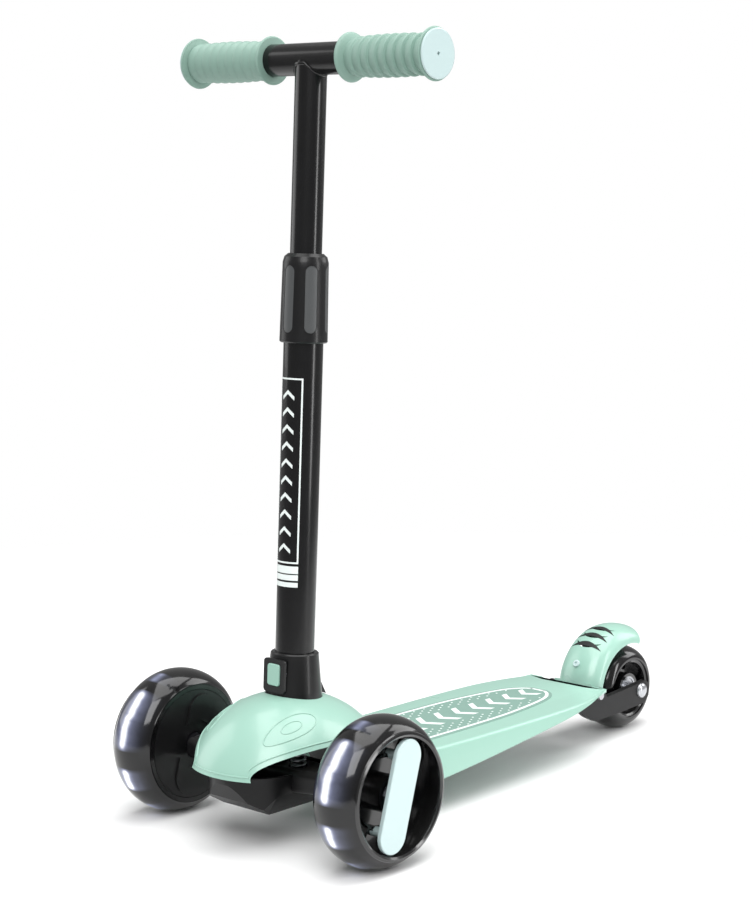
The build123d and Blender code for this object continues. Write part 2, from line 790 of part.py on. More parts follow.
def inset_blocks(half_width, s_from, s_to, r_from, r_to):
    """Six round-ended blocks around the stem's axis, facing outward."""
    blocks = []
    middle = on_stem((s_from + s_to) / 2)
    for i in range(6):
        turn = radians(60 * i)
        out = middle.x_dir * sin(turn) - middle.y_dir * cos(turn)
        across = middle.x_dir * cos(turn) + middle.y_dir * sin(turn)
        face = Plane(origin=middle.origin + out * r_from, x_dir=across, z_dir=out)
        with BuildPart(mode=Mode.PRIVATE) as block:
            with BuildSketch(face):
                SlotOverall(s_to - s_from, 2 * half_width, rotation=90)
            extrude(amount=r_to - r_from)
        blocks.append(block.part)
    return blocks


def twist_form(shrink):
    """Outside of the twist collar, smaller all round by shrink."""
    points = [
        (0, twist_low),
        (twist_low_r - shrink - 1, twist_low),
        (twist_low_r - shrink, twist_low + 1),
        (twist_high_r - shrink, twist_high - 7),
        (twist_high_r - shrink - 1.2, twist_high - 2.6),
        (twist_high_r - shrink - 4.2, twist_high - shrink),
        (0, twist_high - shrink),
    ]
    return turned(points, stem_side, stem_axis)


with BuildPart() as twist_collar:
    add(twist_form(0))
    add(stem_ring(twist_low - 1, twist_low + 8, 0, lower_tube_r + slide_gap), mode=Mode.SUBTRACT)
    add(
        stem_ring(twist_low + 8, tube_high + clamp_flange + collar_gap, 0, lower_tube_r + collar_gap),
        mode=Mode.SUBTRACT,
    )
    add(stem_ring(tube_high, clamp_high + 0.5, 0, clamp_head_r + collar_gap), mode=Mode.SUBTRACT)
    add(stem_ring(tube_high, twist_high + 1, 0, upper_tube_r + 0.4), mode=Mode.SUBTRACT)
    with BuildPart(mode=Mode.PRIVATE) as pockets:
        for block in inset_blocks(inset_width / 2, inset_low, inset_high, 10, 30):
            add(block)
        add(twist_form(inset_depth), mode=Mode.SUBTRACT)
    add(pockets.part, mode=Mode.SUBTRACT)
save(twist_collar, "twist_collar")

with BuildPart() as collar_insets:
    for block in inset_blocks(inset_width / 2 - 0.1, inset_low + 0.1, inset_high - 0.1, 10, 30):
        add(block)
    add(twist_form(0.25), mode=Mode.INTERSECT)
    add(twist_form(inset_depth - seat_gap), mode=Mode.SUBTRACT)
save(collar_insets, "collar_insets")

# ================================================================ handlebar: upper tube, crossbar and grips
upper_low = 262.0
bar_s = handlebar_height / cos(rake)
bar_y = stem_foot_y + handlebar_height * tan(rake)
bar_z = handlebar_height
bar_step_x = 46.0
bar_end_r = 11.1
bar_bore_r = 9.3
bar_end_x = handlebar_half_length - 5.0
grip_inner_x = 41.5
grip_flange_r = 19.3
grip_disc_r = 20.4
grip_wall_r = 13.6
grip_belly_r = 15.4
grip_ribs = 9

with BuildPart() as upper_tube:
    add(stem_ring(upper_low, bar_s, upper_tube_r - upper_tube_wall, upper_tube_r))
    add(cross_ring(-40, 40, 0, upper_tube_r + seat_gap, bar_y, bar_z), mode=Mode.SUBTRACT)
save(upper_tube, "upper_tube")

with BuildPart() as guide_bush:
    bush_bore, bush_r = upper_tube_r + seat_gap, lower_tube_r - lower_tube_wall - slide_gap
    add(stem_ring(upper_low, upper_low + 28, bush_bore, bush_r))
    add(stem_ring(upper_low - 3, upper_low - seat_gap, 6, lower_tube_r - lower_tube_wall - slide_gap))
    add(stem_ring(upper_low - 0.5, upper_low, bush_bore, bush_r))
save(guide_bush, "guide_bush")

with BuildPart() as crossbar:
    points = [
        (-bar_end_x, bar_bore_r),
        (-bar_end_x, bar_end_r),
        (-bar_step_x, bar_end_r),
        (-bar_step_x + 2, upper_tube_r),
        (bar_step_x - 2, upper_tube_r),
        (bar_step_x, bar_end_r),
        (bar_end_x, bar_end_r),
        (bar_end_x, bar_bore_r),
    ]
    add(cross_turned(points, bar_y, bar_z))
save(crossbar, "crossbar")

with BuildPart() as bar_plugs:
    for sign, _ in SIDES:
        low, high = sorted((sign * (bar_end_x - 14), sign * bar_end_x))
        add(cross_ring(low, high, 4, bar_bore_r - seat_gap, bar_y, bar_z))
save(bar_plugs, "bar_end_plugs")


def grip_points():
    """(x, radius) outline of one grip: flange, ribbed barrel and domed end disc."""
    start = grip_inner_x + 5.5
    end = handlebar_half_length - 4.5
    pitch = (end - start) / grip_ribs
    ribs = []
    for i in range(grip_ribs):
        left = start + i * pitch
        swell = sin(radians(180) * (i + 1) / (grip_ribs + 1))
        r = grip_wall_r + (grip_belly_r - grip_wall_r) * swell
        ribs += [(left, r - 0.5), (left + 0.8, r + 0.2)]
        ribs += [(left + pitch - 0.8, r + 0.7), (left + pitch - 0.05, r - 0.4)]
    return [
        (grip_inner_x, upper_tube_r + 0.1),
        (grip_inner_x, grip_flange_r - 1.4),
        (grip_inner_x + 1.2, grip_flange_r),
        (grip_inner_x + 2.6, grip_flange_r - 0.6),
        (grip_inner_x + 4, grip_wall_r + 1.2),
        *ribs,
        (end + 0.4, grip_belly_r - 0.6),
        (end + 1.2, grip_disc_r - 1.0),
        (end + 2.2, grip_disc_r),
        (end + 3.4, grip_disc_r - 1.2),
        (end + 4.3, grip_disc_r * 0.55),
        (end + 4.5, 1.2),
        (bar_end_x + seat_gap, 1.2),
        (bar_end_x + seat_gap, bar_end_r + seat_gap),
        (bar_step_x + 0.4, bar_end_r + seat_gap),
        (bar_step_x + 0.4, upper_tube_r + 0.1),
    ]


for sign, side in SIDES:
    with BuildPart() as grip:
        add(cross_turned(grip_points(), bar_y, bar_z))
        if sign < 0:
            mirror(about=Plane.YZ, mode=Mode.REPLACE)
    save(grip, f"{side}_grip")

# ================================================================ rear fork and wheel
arm_inner_x = 24.6
arm_outer_x = 30.6
web_front = rear_y - 150.0
web_rear = rear_y - 77.0
web_thickness = 6.0
pin_y = rear_y - 66.0
pin_z = rear_z + 7.0
pin_r = 2.5
fork_screw_y = (rear_y - 136.0, rear_y - 92.0)
fork_screw_x = 17.0
rear_tyre_half = 19.0
rear_bulge = 12.0
rear_seat_r = 28.0
rear_hub_half = 17.5
rear_bearing_x = 8.0

with BuildPart() as rear_fork:
    for sign, _ in SIDES:
        with BuildSketch(side_plane(sign * arm_inner_x)):
            with BuildLine():
                Polyline(
                    (web_front, deck_under_z - web_thickness),
                    (web_front, deck_under_z - seat_gap),
                    (pin_y + 6, deck_under_z - seat_gap),
                    (pin_y + 11, rear_z + 3.5),
                    (rear_y + 7, rear_z + 8.5),
                    (rear_y + 11, rear_z + 6),
                    (rear_y + 12.5, rear_z + 2),
                    (rear_y + 12, rear_z - 6.5),
                    (rear_y + 5, rear_z - 13),
                    (rear_y - 31, rear_z - 15),
                    (rear_y - 72, rear_z - 16.5),
                    (rear_y - 86, rear_z - 10),
                    (rear_y - 104, rear_z + 3),
                    close=True,
                )
            make_face()
        extrude(amount=sign * (arm_outer_x - arm_inner_x))
    with BuildSketch(Plane.XY.offset(deck_under_z - web_thickness)):
        with Locations((0, (web_front + web_rear) / 2)):
            Rectangle(2 * arm_inner_x + 2, web_rear - web_front)
    extrude(amount=web_thickness - seat_gap)
    with BuildSketch(side_plane()):
        with Locations((rear_y, rear_z)):
            Circle(bearing_bore_r + slide_gap)
        with Locations((pin_y, pin_z)):
            Circle(pin_r + seat_gap)
    extrude(amount=2 * arm_outer_x, both=True, mode=Mode.SUBTRACT)
    with BuildSketch(Plane.XY.offset(deck_under_z - 2 * web_thickness)):
        for y in fork_screw_y:
            with Locations((fork_screw_x, y), (-fork_screw_x, y)):
                Circle(foot_screw_r + 0.2)
    extrude(amount=4 * web_thickness, mode=Mode.SUBTRACT)
save(rear_fork, "rear_fork")

with BuildPart() as rear_tyre:
    add(tread_solid(rear_tyre_half, rear_bulge, rear_wheel_r, rear_seat_r, 0, rear_y, rear_z))
save(rear_tyre, "rear_tyre")

with BuildPart() as rear_hub:
    lip_r = rear_seat_r - 3
    half = rear_hub_half
    bearing_end = rear_bearing_x + bearing_width
    right = [
        (bearing_end, bearing_r + seat_gap),
        (bearing_end, 14),
        (5, 14),
        (5, lip_r),
        (half - 1, lip_r),
        (half, lip_r + 1.5),
        (half, rear_seat_r - seat_gap),
    ]
    points = [
        (-rear_bearing_x, bearing_r - 2),
        (rear_bearing_x, bearing_r - 2),
        (rear_bearing_x, bearing_r + seat_gap),
        *right,
        *[(-x, r) for x, r in reversed(right)],
        (-rear_bearing_x, bearing_r + seat_gap),
    ]
    add(cross_turned(points, rear_y, rear_z))
    with BuildSketch(Plane(origin=(0, rear_y, rear_z), x_dir=(0, 1, 0), z_dir=(1, 0, 0))):
        with PolarLocations(19.5, 5):
            Circle(3.4)
    extrude(amount=10, both=True, mode=Mode.SUBTRACT)
save(rear_hub, "rear_hub")

with BuildPart() as rear_bearings:
    for ring in bearing_pair((-rear_bearing_x - bearing_width, rear_bearing_x), rear_y, rear_z):
        add(ring)
save(rear_bearings, "rear_wheel_bearings")

with BuildPart() as rear_sleeve:
    spacer_bore = bearing_bore_r + run_gap
    add(cross_ring(-rear_bearing_x, rear_bearing_x, spacer_bore, axle_shoulder_r, rear_y, rear_z))
save(rear_sleeve, "rear_bearing_spacer")

with BuildPart() as rear_spacers:
    for sign, _ in SIDES:
        low, high = sorted((sign * (rear_bearing_x + bearing_width + 0.1), sign * (arm_inner_x - 0.05)))
        add(cross_ring(low, high, bearing_bore_r + run_gap, axle_shoulder_r, rear_y, rear_z))
save(rear_spacers, "rear_spacers")

with BuildPart() as rear_axle:
    head = arm_outer_x + 0.1
    points = [
        (-head - 3.2, 0),
        (-head - 3.2, bearing_bore_r),
        (head, bearing_bore_r),
        (head, 7),
        (head + 1.4, 6.6),
        (head + 2.8, 4.6),
        (head + 3.4, 2),
        (head + 3.4, 0),
    ]
    add(cross_turned(points, rear_y, rear_z))
save(rear_axle, "rear_axle_bolt")

with BuildPart() as rear_nut:
    head = arm_outer_x + 0.1
    points = [
        (-head, bearing_bore_r + seat_gap),
        (-head, 7),
        (-head - 1.4, 6.6),
        (-head - 2.8, 4.6),
        (-head - 3.4, bearing_bore_r + seat_gap),
    ]
    add(cross_turned(points, rear_y, rear_z))
save(rear_nut, "rear_axle_nut")

# ================================================================ fender brake
hood_y = rear_y - 10.0
hood_z = rear_z + 2.0
hood_half = 24.0
hood_edge_r = 45.0
hood_crown = 15.0
hood_wall = 3.0
hood_front_deg = 172.0
hood_tail_deg = 70.0
knuckle_r = 5.2
knuckle_half = 21.0
spring_room_half = 6.5
brake_wire_r = 0.7
pad_half = 11.0
pad_r = 43.5
hood_axis = Axis((0, hood_y, hood_z), (1, 0, 0))
fender_screw_deg = 150.0
crescents_deg = (104.0, 116.0, 128.0)


def hood_point(radius, degrees):
    """Point of the hood's middle plane at a radius and an angle above the rearward horizontal."""
    return (hood_y + radius * cos(radians(degrees)), hood_z + radius * sin(radians(degrees)))


def hood_section(shrink):
    """Upright oval cross-section of the hood as (x, radius) points."""
    half = hood_half - shrink
    crown = hood_crown - shrink
    steps = 10
    arch = []
    for i in range(steps + 1):
        x = -half * cos(radians(180 * i / steps))
        arch.append((x, hood_edge_r + crown * sin(radians(180 * i / steps))))
    return arch


def hood_shell(shrink, low_r):
    """The hood's bent form, closed down to low_r."""
    arch = hood_section(shrink)
    start = Plane(
        origin=(0, hood_y, hood_z),
        x_dir=(1, 0, 0),
        z_dir=(0, -sin(radians(hood_tail_deg)), cos(radians(hood_tail_deg))),
    )
    with BuildPart(mode=Mode.PRIVATE) as form:
        with BuildSketch(start):
            with BuildLine():
                Spline(*arch)
                Polyline(arch[-1], (arch[-1][0], low_r), (arch[0][0], low_r), arch[0])
            make_face()
        revolve(axis=hood_axis, revolution_arc=hood_front_deg - hood_tail_deg)
    return form.part


with BuildPart() as fender:
    add(hood_shell(0, hood_edge_r - 1))
    add(hood_shell(hood_wall, hood_edge_r - 10), mode=Mode.SUBTRACT)
    # knuckle that turns on the pin, and the web that joins it to the front of the hood
    with BuildSketch(side_plane()):
        with BuildLine():
            Polyline(
                (pin_y - 4.6, pin_z),
                (pin_y + 4.6, pin_z),
                (hood_point(hood_edge_r + hood_crown - 4, 168)),
                (hood_point(hood_edge_r + hood_crown - 0.6, 166)),
                close=True,
            )
        make_face()
        with Locations((pin_y, pin_z)):
            Circle(knuckle_r)
    extrude(amount=knuckle_half, both=True)
    with BuildSketch(side_plane()):
        with Locations((pin_y, pin_z)):
            Circle(pin_r + run_gap)
    extrude(amount=knuckle_half + 5, both=True, mode=Mode.SUBTRACT)
    with BuildSketch(side_plane()):
        with Locations((pin_y, pin_z)):
            Circle(knuckle_r + 2.5)
    extrude(amount=spring_room_half, both=True, mode=Mode.SUBTRACT)
    # three crescent slots across the crown
    for degrees in crescents_deg:
        y, z = hood_point(hood_edge_r + hood_crown - 8, degrees)
        out = Vector(0, cos(radians(degrees)), sin(radians(degrees)))
        with BuildSketch(Plane(origin=(0, y, z), x_dir=(1, 0, 0), z_dir=out)):
            with BuildLine():
                ThreePointArc((-14, 4), (0, -5), (14, 4))
                ThreePointArc((14, 4), (0, -1), (-14, 4))
            make_face()
        extrude(amount=14, mode=Mode.SUBTRACT)
    # seat for the screw in front
    y, z = hood_point(0, fender_screw_deg)
    out = Vector(0, cos(radians(fender_screw_deg)), sin(radians(fender_screw_deg)))
    with BuildSketch(Plane(origin=(0, y, z), x_dir=(1, 0, 0), z_dir=out)):
        Circle(1.9)
    extrude(amount=80, mode=Mode.SUBTRACT)

with BuildPart() as brake_pad:
    start = Plane(
        origin=(0, hood_y, hood_z),
        x_dir=(1, 0, 0),
        z_dir=(0, -sin(radians(103)), cos(radians(103))),
    )
    top_r = hood_edge_r + (hood_crown - hood_wall) * sqrt(1 - (pad_half / (hood_half - hood_wall)) ** 2) - 0.3
    with BuildSketch(start):
        with Locations((0, (pad_r + top_r) / 2)):
            Rectangle(2 * pad_half, top_r - pad_r)
    revolve(axis=hood_axis, revolution_arc=22)

with BuildPart() as fender_pin:
    points = [
        (-arm_outer_x - 1.8, 0),
        (-arm_outer_x - 1.8, 3.6),
        (-arm_outer_x - 0.1, 4.2),
        (-arm_outer_x - 0.1, pin_r),
        (arm_outer_x + 0.1, pin_r),
        (arm_outer_x + 0.1, 4.2),
        (arm_outer_x + 1.8, 3.6),
        (arm_outer_x + 1.8, 0),
    ]
    add(cross_turned(points, pin_y, pin_z))
save(fender_pin, "fender_pin")

with BuildPart() as fender_spring:
    half = spring_room_half - 0.4
    start = Plane(origin=(-half, pin_y, pin_z), x_dir=(0, 1, 0), z_dir=(1, 0, 0))
    add(coil(start, 2 * half, pin_r + 1.2, brake_wire_r, 6))
save(fender_spring, "fender_spring")

with BuildPart() as fender_screw:
    y, z = hood_point(hood_edge_r + hood_crown + 0.1, fender_screw_deg)
    inward = (0, -cos(radians(fender_screw_deg)), -sin(radians(fender_screw_deg)))
    add(pan_screw(Plane(origin=(0, y, z), x_dir=(1, 0, 0), z_dir=inward), 9, 1.85, 3.4, 1.6))
save(fender_screw, "fender_screw")

save(fender, "fender")
save(brake_pad, "brake_pad")

# ================================================================ deck
deck_front = front_y + 72.0
deck_tip = rear_y - 73.0
notch_half = 27.0
notch_y = rear_y - 79.0
pad_recess = 1.2
grip_pad_front = front_y + 112.0
grip_pad_rear = front_y + 350.0
grip_pad_half = 40.0
skirt_front_z = 26.0
skirt_slope = 0.103
rib_thickness = 2.0
spine_half = 22.0


def deck_outline(z, grow, shrink):
    """Plan of the deck at z: its sides spread by grow, and the whole pulled in by shrink."""
    right = [
        (40, deck_front),
        (52, deck_front + 12),
        (deck_half_width - 4, deck_front + 42),
        (deck_half_width, deck_front + 110),
        (deck_half_width, rear_y - 170),
        (deck_half_width - 5, rear_y - 118),
        (44, deck_tip),
    ]
    side = [(x + grow - shrink, y) for x, y in right]
    side[0] = (side[0][0], side[0][1] + shrink)
    side[-1] = (side[-1][0], side[-1][1] - shrink)
    with BuildSketch(Plane.XY.offset(z), mode=Mode.PRIVATE) as plan:
        with BuildLine():
            Spline(*side)
            Line(side[-1], (-side[-1][0], side[-1][1]))
            Spline(*[(-x, y) for x, y in reversed(side)])
            Line((-side[0][0], side[0][1]), side[0])
        make_face()
    return plan.sketch.face()


def grip_pad_block(shrink, z, height):
    """Block of the grip pad's plan: square shoulders in front, drawn to a round point behind."""
    half = grip_pad_half - shrink
    front = grip_pad_front + shrink
    tip = grip_pad_rear - shrink
    flank = [(half, front + 60), (half, tip - 105), (half - 5, tip - 60)]
    flank += [(half - 12, tip - 24), (half - 24, tip - 6), (0, tip)]
    shoulder = [(half - 20, front), (half - 4, front + 14), (half, front + 60)]
    with BuildPart(mode=Mode.PRIVATE) as block:
        with BuildSketch(Plane.XY.offset(z)):
            with BuildLine():
                Spline(*flank, *[(-x, y) for x, y in reversed(flank[:-1])])
                Spline(*[(-x, y) for x, y in reversed(shoulder)])
                Line((-shoulder[0][0], front), shoulder[0])
                Spline(*shoulder)
            make_face()
        extrude(amount=height)
    return block.part


def deck_block(shrink, top_z, low_z, bevel=0.0):
    """Deck's outer form, smaller all round by shrink, with its skirts flaring downward."""
    flare = tan(radians(skirt_flare_deg))
    outlines = [deck_outline(z, (deck_top_z - z) * flare, shrink) for z in (top_z - bevel, low_z)]
    if bevel > 0:
        outlines.insert(0, deck_outline(top_z, 0, shrink + bevel))
    with BuildPart(mode=Mode.PRIVATE) as block:
        loft(outlines, ruled=True)
    return block.part


with BuildPart() as deck:
    add(deck_block(0, deck_top_z, skirt_front_z - 4, deck_bevel))
    # the skirts run out towards the rear
    slope_y = front_y + 100
    with BuildSketch(side_plane()):
        with BuildLine():
            Polyline(
                (deck_front - 20, skirt_front_z + skirt_slope * (deck_front - 20 - slope_y)),
                (deck_tip + 20, skirt_front_z + skirt_slope * (deck_tip + 20 - slope_y)),
                (deck_tip + 20, 0),
                (deck_front - 20, 0),
                close=True,
            )
        make_face()
    extrude(amount=200, both=True, mode=Mode.SUBTRACT)
    add(deck_block(skirt_wall, deck_under_z, 10), mode=Mode.SUBTRACT)
    # cross ribs each side of the spine
    for i in range(7):
        y = front_y + 118 + i * 32
        with BuildPart(mode=Mode.PRIVATE) as rib:
            for sign in (-1, 1):
                with BuildSketch(Plane.XY.offset(deck_under_z - 7)):
                    with Locations((sign * (34 + 60) / 1, y)):
                        Rectangle(120, rib_thickness)
                extrude(amount=9)
            add(deck_block(skirt_wall / 2, deck_top_z - 1, 10), mode=Mode.INTERSECT)
        add(rib.part)
    # notch for the fender between the two horns, and the pad's recess
    with BuildSketch(Plane.XY.offset(deck_under_z - 30)):
        with Locations((0, notch_y + 30)):
            Rectangle(2 * notch_half, 60)
    extrude(amount=60, mode=Mode.SUBTRACT)
    add(grip_pad_block(0, deck_top_z - pad_recess, 10), mode=Mode.SUBTRACT)
    # screw holes
    with BuildSketch(Plane.XY.offset(deck_under_z - 1)):
        with Locations((0, (foot_y + foot_end_y) / 2 + 12)):
            with GridLocations(36, 36, 2, 2):
                Circle(foot_screw_r)
        for y in fork_screw_y:
            with Locations((fork_screw_x, y), (-fork_screw_x, y)):
                Circle(foot_screw_r)
    extrude(amount=1 + deck_wall - pad_recess - 0.8, mode=Mode.SUBTRACT)
    # bolt the front edge clear of the riser
    with BuildSketch(Plane.XY.offset(deck_under_z - 40)):
        with Locations((0, deck_front - 5)):
            Rectangle(2 * foot_half_width + 1, 30)
    extrude(amount=80, mode=Mode.SUBTRACT)
save(deck, "deck")

with BuildPart() as grip_pad:
    add(grip_pad_block(0.15, deck_top_z - pad_recess + seat_gap, pad_recess + 1))
save(grip_pad, "grip_pad")

spine_front = foot_end_y + 0.5
spine_rear = web_front - 0.5
with BuildPart() as deck_spine:
    with BuildSketch(Plane.XZ.offset(-spine_front)):
        with Locations((0, deck_under_z - 4)):
            Rectangle(2 * spine_half, 8 - 2 * seat_gap)
        with Locations((0, deck_under_z - 6.5)):
            Rectangle(2 * spine_half - 5, 8 - 2 * seat_gap, mode=Mode.SUBTRACT)
    extrude(amount=-(spine_rear - spine_front))
    with BuildSketch(Plane.XY.offset(deck_under_z - 5)):
        with Locations((0, (spine_front + spine_rear) / 2)):
            with GridLocations(24, spine_rear - spine_front - 24, 2, 2):
                Circle(2.2)
    extrude(amount=10, mode=Mode.SUBTRACT)
save(deck_spine, "deck_spine")

with BuildPart() as deck_screws:
    seat_z = deck_under_z - foot_thickness - 0.02
    middle_y = (foot_y + foot_end_y) / 2 + 12
    places = [(sx * 18, middle_y + sy * 18) for sx in (-1, 1) for sy in (-1, 1)]
    places += [(sx * fork_screw_x, y) for sx in (-1, 1) for y in fork_screw_y]
    for x, y in places:
        add(pan_screw(Plane(origin=(x, y, seat_z)), foot_thickness + 1.6, foot_screw_r - seat_gap, 4.6, 2.6))
save(deck_screws, "deck_screws")
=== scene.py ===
"""Three-wheeled lean-to-steer kick scooter: the visual model, built around its CAD frame."""

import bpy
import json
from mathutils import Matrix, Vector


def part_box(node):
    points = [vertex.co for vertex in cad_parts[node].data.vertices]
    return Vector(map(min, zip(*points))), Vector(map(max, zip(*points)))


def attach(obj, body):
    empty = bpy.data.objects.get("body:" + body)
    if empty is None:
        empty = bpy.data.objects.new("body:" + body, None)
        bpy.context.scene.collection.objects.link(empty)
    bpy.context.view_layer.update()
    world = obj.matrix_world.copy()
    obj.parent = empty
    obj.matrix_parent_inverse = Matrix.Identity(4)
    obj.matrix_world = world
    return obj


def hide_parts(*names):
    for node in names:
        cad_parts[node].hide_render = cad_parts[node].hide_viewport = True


bl_info = {
    "name": "Kick Scooter",
    "version": (1, 0, 0),
    "blender": (4, 5, 0),
    "location": "3D View > Sidebar > Scooter",
    "description": "Builds a child's three-wheeled kick scooter, its finishes and its studio",
    "category": "Object",
}

import json
import math
from functools import partial

import bmesh
import bpy
from bpy.props import FloatProperty, FloatVectorProperty, IntProperty, PointerProperty
from mathutils import Vector

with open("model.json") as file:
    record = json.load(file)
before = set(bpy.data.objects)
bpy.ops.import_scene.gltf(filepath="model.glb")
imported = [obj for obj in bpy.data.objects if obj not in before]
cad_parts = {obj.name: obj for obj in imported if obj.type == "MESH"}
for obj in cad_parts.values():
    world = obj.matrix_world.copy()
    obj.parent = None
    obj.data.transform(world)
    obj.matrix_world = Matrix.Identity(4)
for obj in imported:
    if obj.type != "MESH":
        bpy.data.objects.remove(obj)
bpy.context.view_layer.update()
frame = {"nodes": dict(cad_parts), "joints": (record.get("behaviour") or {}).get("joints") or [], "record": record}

MM = 0.001

# ---- places read from the frame


MERGE_REACH = 1e-6
BOXES = {}


def node_box(node):
    """Lowest and highest corner of a CAD node at rest, read once."""
    if node not in BOXES:
        BOXES[node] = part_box(node)
    low, high = BOXES[node]
    return low.copy(), high.copy()


def middle(node):
    low, high = node_box(node)
    return (low + high) / 2


def extent(node):
    low, high = node_box(node)
    return high - low


JOINTS = {joint["name"]: joint for joint in frame["joints"]}
SIDES = {"left": 1, "right": -1}

STEM_DIR = Vector(JOINTS["stem_lift"]["axis"]).normalized()
BAR_CENTRE = middle("crossbar")
STEM_BACK = Vector((0, STEM_DIR.z, -STEM_DIR.y))  # square to the stem, pointing to the rear
WHEEL_R = extent("left_tyre").z / 2
WHEEL_HALF = extent("left_tyre").x / 2
REAR_R = extent("rear_tyre").z / 2
REAR_HALF = extent("rear_tyre").x / 2
DECK_TOP = node_box("deck")[1].z
FLOOR_SOLID, FLOOR_FADE = 0.55, 0.75  # radius of plain floor, and the width over which it fades


def on_stem(height, radius=0.0, angle=0.0):
    """Point at a height along the stem and an angle round it. Angle 0 faces forward, positive to the left."""
    foot = BAR_CENTRE - STEM_DIR * (BAR_CENTRE.z / STEM_DIR.z)
    out = Vector((math.sin(angle), 0, 0)) - STEM_BACK * math.cos(angle)
    return foot + STEM_DIR * height + out * radius


# ---- meshes


def linked(name, data):
    """Object at the origin holding a mesh, lamp or camera, linked to the scene."""
    piece = bpy.data.objects.new(name, data)
    bpy.context.scene.collection.objects.link(piece)
    return piece


def new_object(name, points, faces, smooth_angle=35.0):
    """Mesh object at the origin, its faces turned outward and shaded smooth up to an angle."""
    mesh = bpy.data.meshes.new(name)
    mesh.from_pydata([tuple(p) for p in points], [], faces)
    mesh.validate()
    mesh.update()
    shade(mesh, smooth_angle)
    piece = linked(name, mesh)
    if signed_volume(mesh) < 0:
        mesh.flip_normals()
    return piece


def shade(mesh, smooth_angle):
    mesh.shade_smooth()
    mesh.set_sharp_from_angle(angle=math.radians(smooth_angle))


def reform(mesh, change):
    """Runs one change on a mesh's loose form."""
    form = bmesh.new()
    form.from_mesh(mesh)
    change(form)
    form.to_mesh(mesh)
    form.free()


def signed_volume(mesh):
    mesh.calc_loop_triangles()
    total = 0.0
    for triangle in mesh.loop_triangles:
        a, b, c = (mesh.vertices[i].co for i in triangle.vertices)
        total += a.dot(b.cross(c))
    return total


class Shell:
    """Collects points and faces of closed bodies for one object."""

    def __init__(self):
        self.points = []
        self.faces = []

    def rings(self, rings, looped=False, capped=True):
        """Skins closed rings of equal length, joined end to start or capped at both ends."""
        start = len(self.points)
        count = len(rings[0])
        for ring in rings:
            self.points += ring
        spans = len(rings) if looped else len(rings) - 1
        for i in range(spans):
            a = start + i * count
            b = start + (i + 1) % len(rings) * count
            for j in range(count):
                k = (j + 1) % count
                self.faces.append((a + j, a + k, b + k, b + j))
        if capped and not looped:
            self.faces.append(tuple(range(start + count - 1, start - 1, -1)))
            last = start + (len(rings) - 1) * count
            self.faces.append(tuple(range(last, last + count)))

    def build(self, name, smooth_angle=35.0):
        return new_object(name, self.points, self.faces, smooth_angle)


def turned(name, profile, centre, segments=96, smooth_angle=35.0):
    """Closed ring turned about the cross axis through centre, from a closed (x, radius) outline."""
    shell = Shell()
    rings = []
    for i in range(segments):
        angle = math.tau * i / segments
        out = Vector((0, math.cos(angle), math.sin(angle)))
        rings.append([Vector((x, centre.y, centre.z)) + out * r for x, r in profile])
    shell.rings(rings, looped=True)
    return shell.build(name, smooth_angle)


def arc(centre, radius, start, end, steps):
    """Points of a plane arc, angles in degrees."""
    points = []
    for i in range(steps + 1):
        angle = math.radians(start + (end - start) * i / steps)
        points.append((centre[0] + radius * math.cos(angle), centre[1] + radius * math.sin(angle)))
    return points


def smooth_line(points, steps):
    """Smooth curve through the points, by Catmull-Rom."""

    def blend(a, b, c, d, t):
        square, cube = 2 * a - 5 * b + 4 * c - d, 3 * b - a - 3 * c + d
        return 0.5 * (2 * b + (c - a) * t + square * t * t + cube * t**3)

    out = []
    last = len(points) - 1
    for i in range(last):
        four = points[max(i - 1, 0)], points[i], points[i + 1], points[min(i + 2, last)]
        for k in range(steps):
            out.append(tuple(blend(*along, k / steps) for along in zip(*four)))
    out.append(points[last])
    return out


# ---- shader groups


def shader_group(name, inputs, outputs):
    """Empty node group with float inputs (name, default) and outputs."""
    group = bpy.data.node_groups.new(name, "ShaderNodeTree")
    for label, default in inputs:
        socket = group.interface.new_socket(label, in_out="INPUT", socket_type="NodeSocketFloat")
        socket.default_value = default
    for label in outputs:
        group.interface.new_socket(label, in_out="OUTPUT", socket_type="NodeSocketFloat")
    enter = group.nodes.new("NodeGroupInput")
    leave = group.nodes.new("NodeGroupOutput")
    return group, enter, leave


def link(tree, source, target):
    tree.links.new(source, target)


def math_node(tree, operation, *values, clamp=False):
    """Math node whose inputs are sockets or numbers. Returns its output."""
    node = tree.nodes.new("ShaderNodeMath")
    node.operation = operation
    node.use_clamp = clamp
    for i, value in enumerate(values):
        if isinstance(value, (int, float)):
            node.inputs[i].default_value = value
        else:
            link(tree, value, node.inputs[i])
    return node.outputs[0]


def preset(node, values):
    """Sets a node's own sockets by name."""
    for label, value in values.items():
        node.inputs[label].default_value = value


def noise_node(tree, coordinates, scale, detail=3.0):
    node = tree.nodes.new("ShaderNodeTexNoise")
    preset(node, {"Detail": detail, "Roughness": 0.55})
    if isinstance(scale, (int, float)):
        preset(node, {"Scale": scale})
    else:
        link(tree, scale, node.inputs["Scale"])
    link(tree, coordinates, node.inputs["Vector"])
    return node.outputs["Fac"]


def object_coordinates(tree):
    return tree.nodes.new("ShaderNodeTexCoord").outputs["Object"]


def separated(tree, vector):
    """Node that gives a vector's X, Y and Z."""
    node = tree.nodes.new("ShaderNodeSeparateXYZ")
    link(tree, vector, node.inputs[0])
    return node


def build_grain_group():
    """Fine moulded texture and slow mottling."""
    group, enter, leave = shader_group(
        "Moulded Grain", [("Grain Scale", 900.0), ("Mottle Scale", 14.0)], ["Height", "Mottle"]
    )
    where = object_coordinates(group)
    link(group, noise_node(group, where, enter.outputs["Grain Scale"], 2.0), leave.inputs["Height"])
    link(group, noise_node(group, where, enter.outputs["Mottle Scale"], 3.0), leave.inputs["Mottle"])
    return group


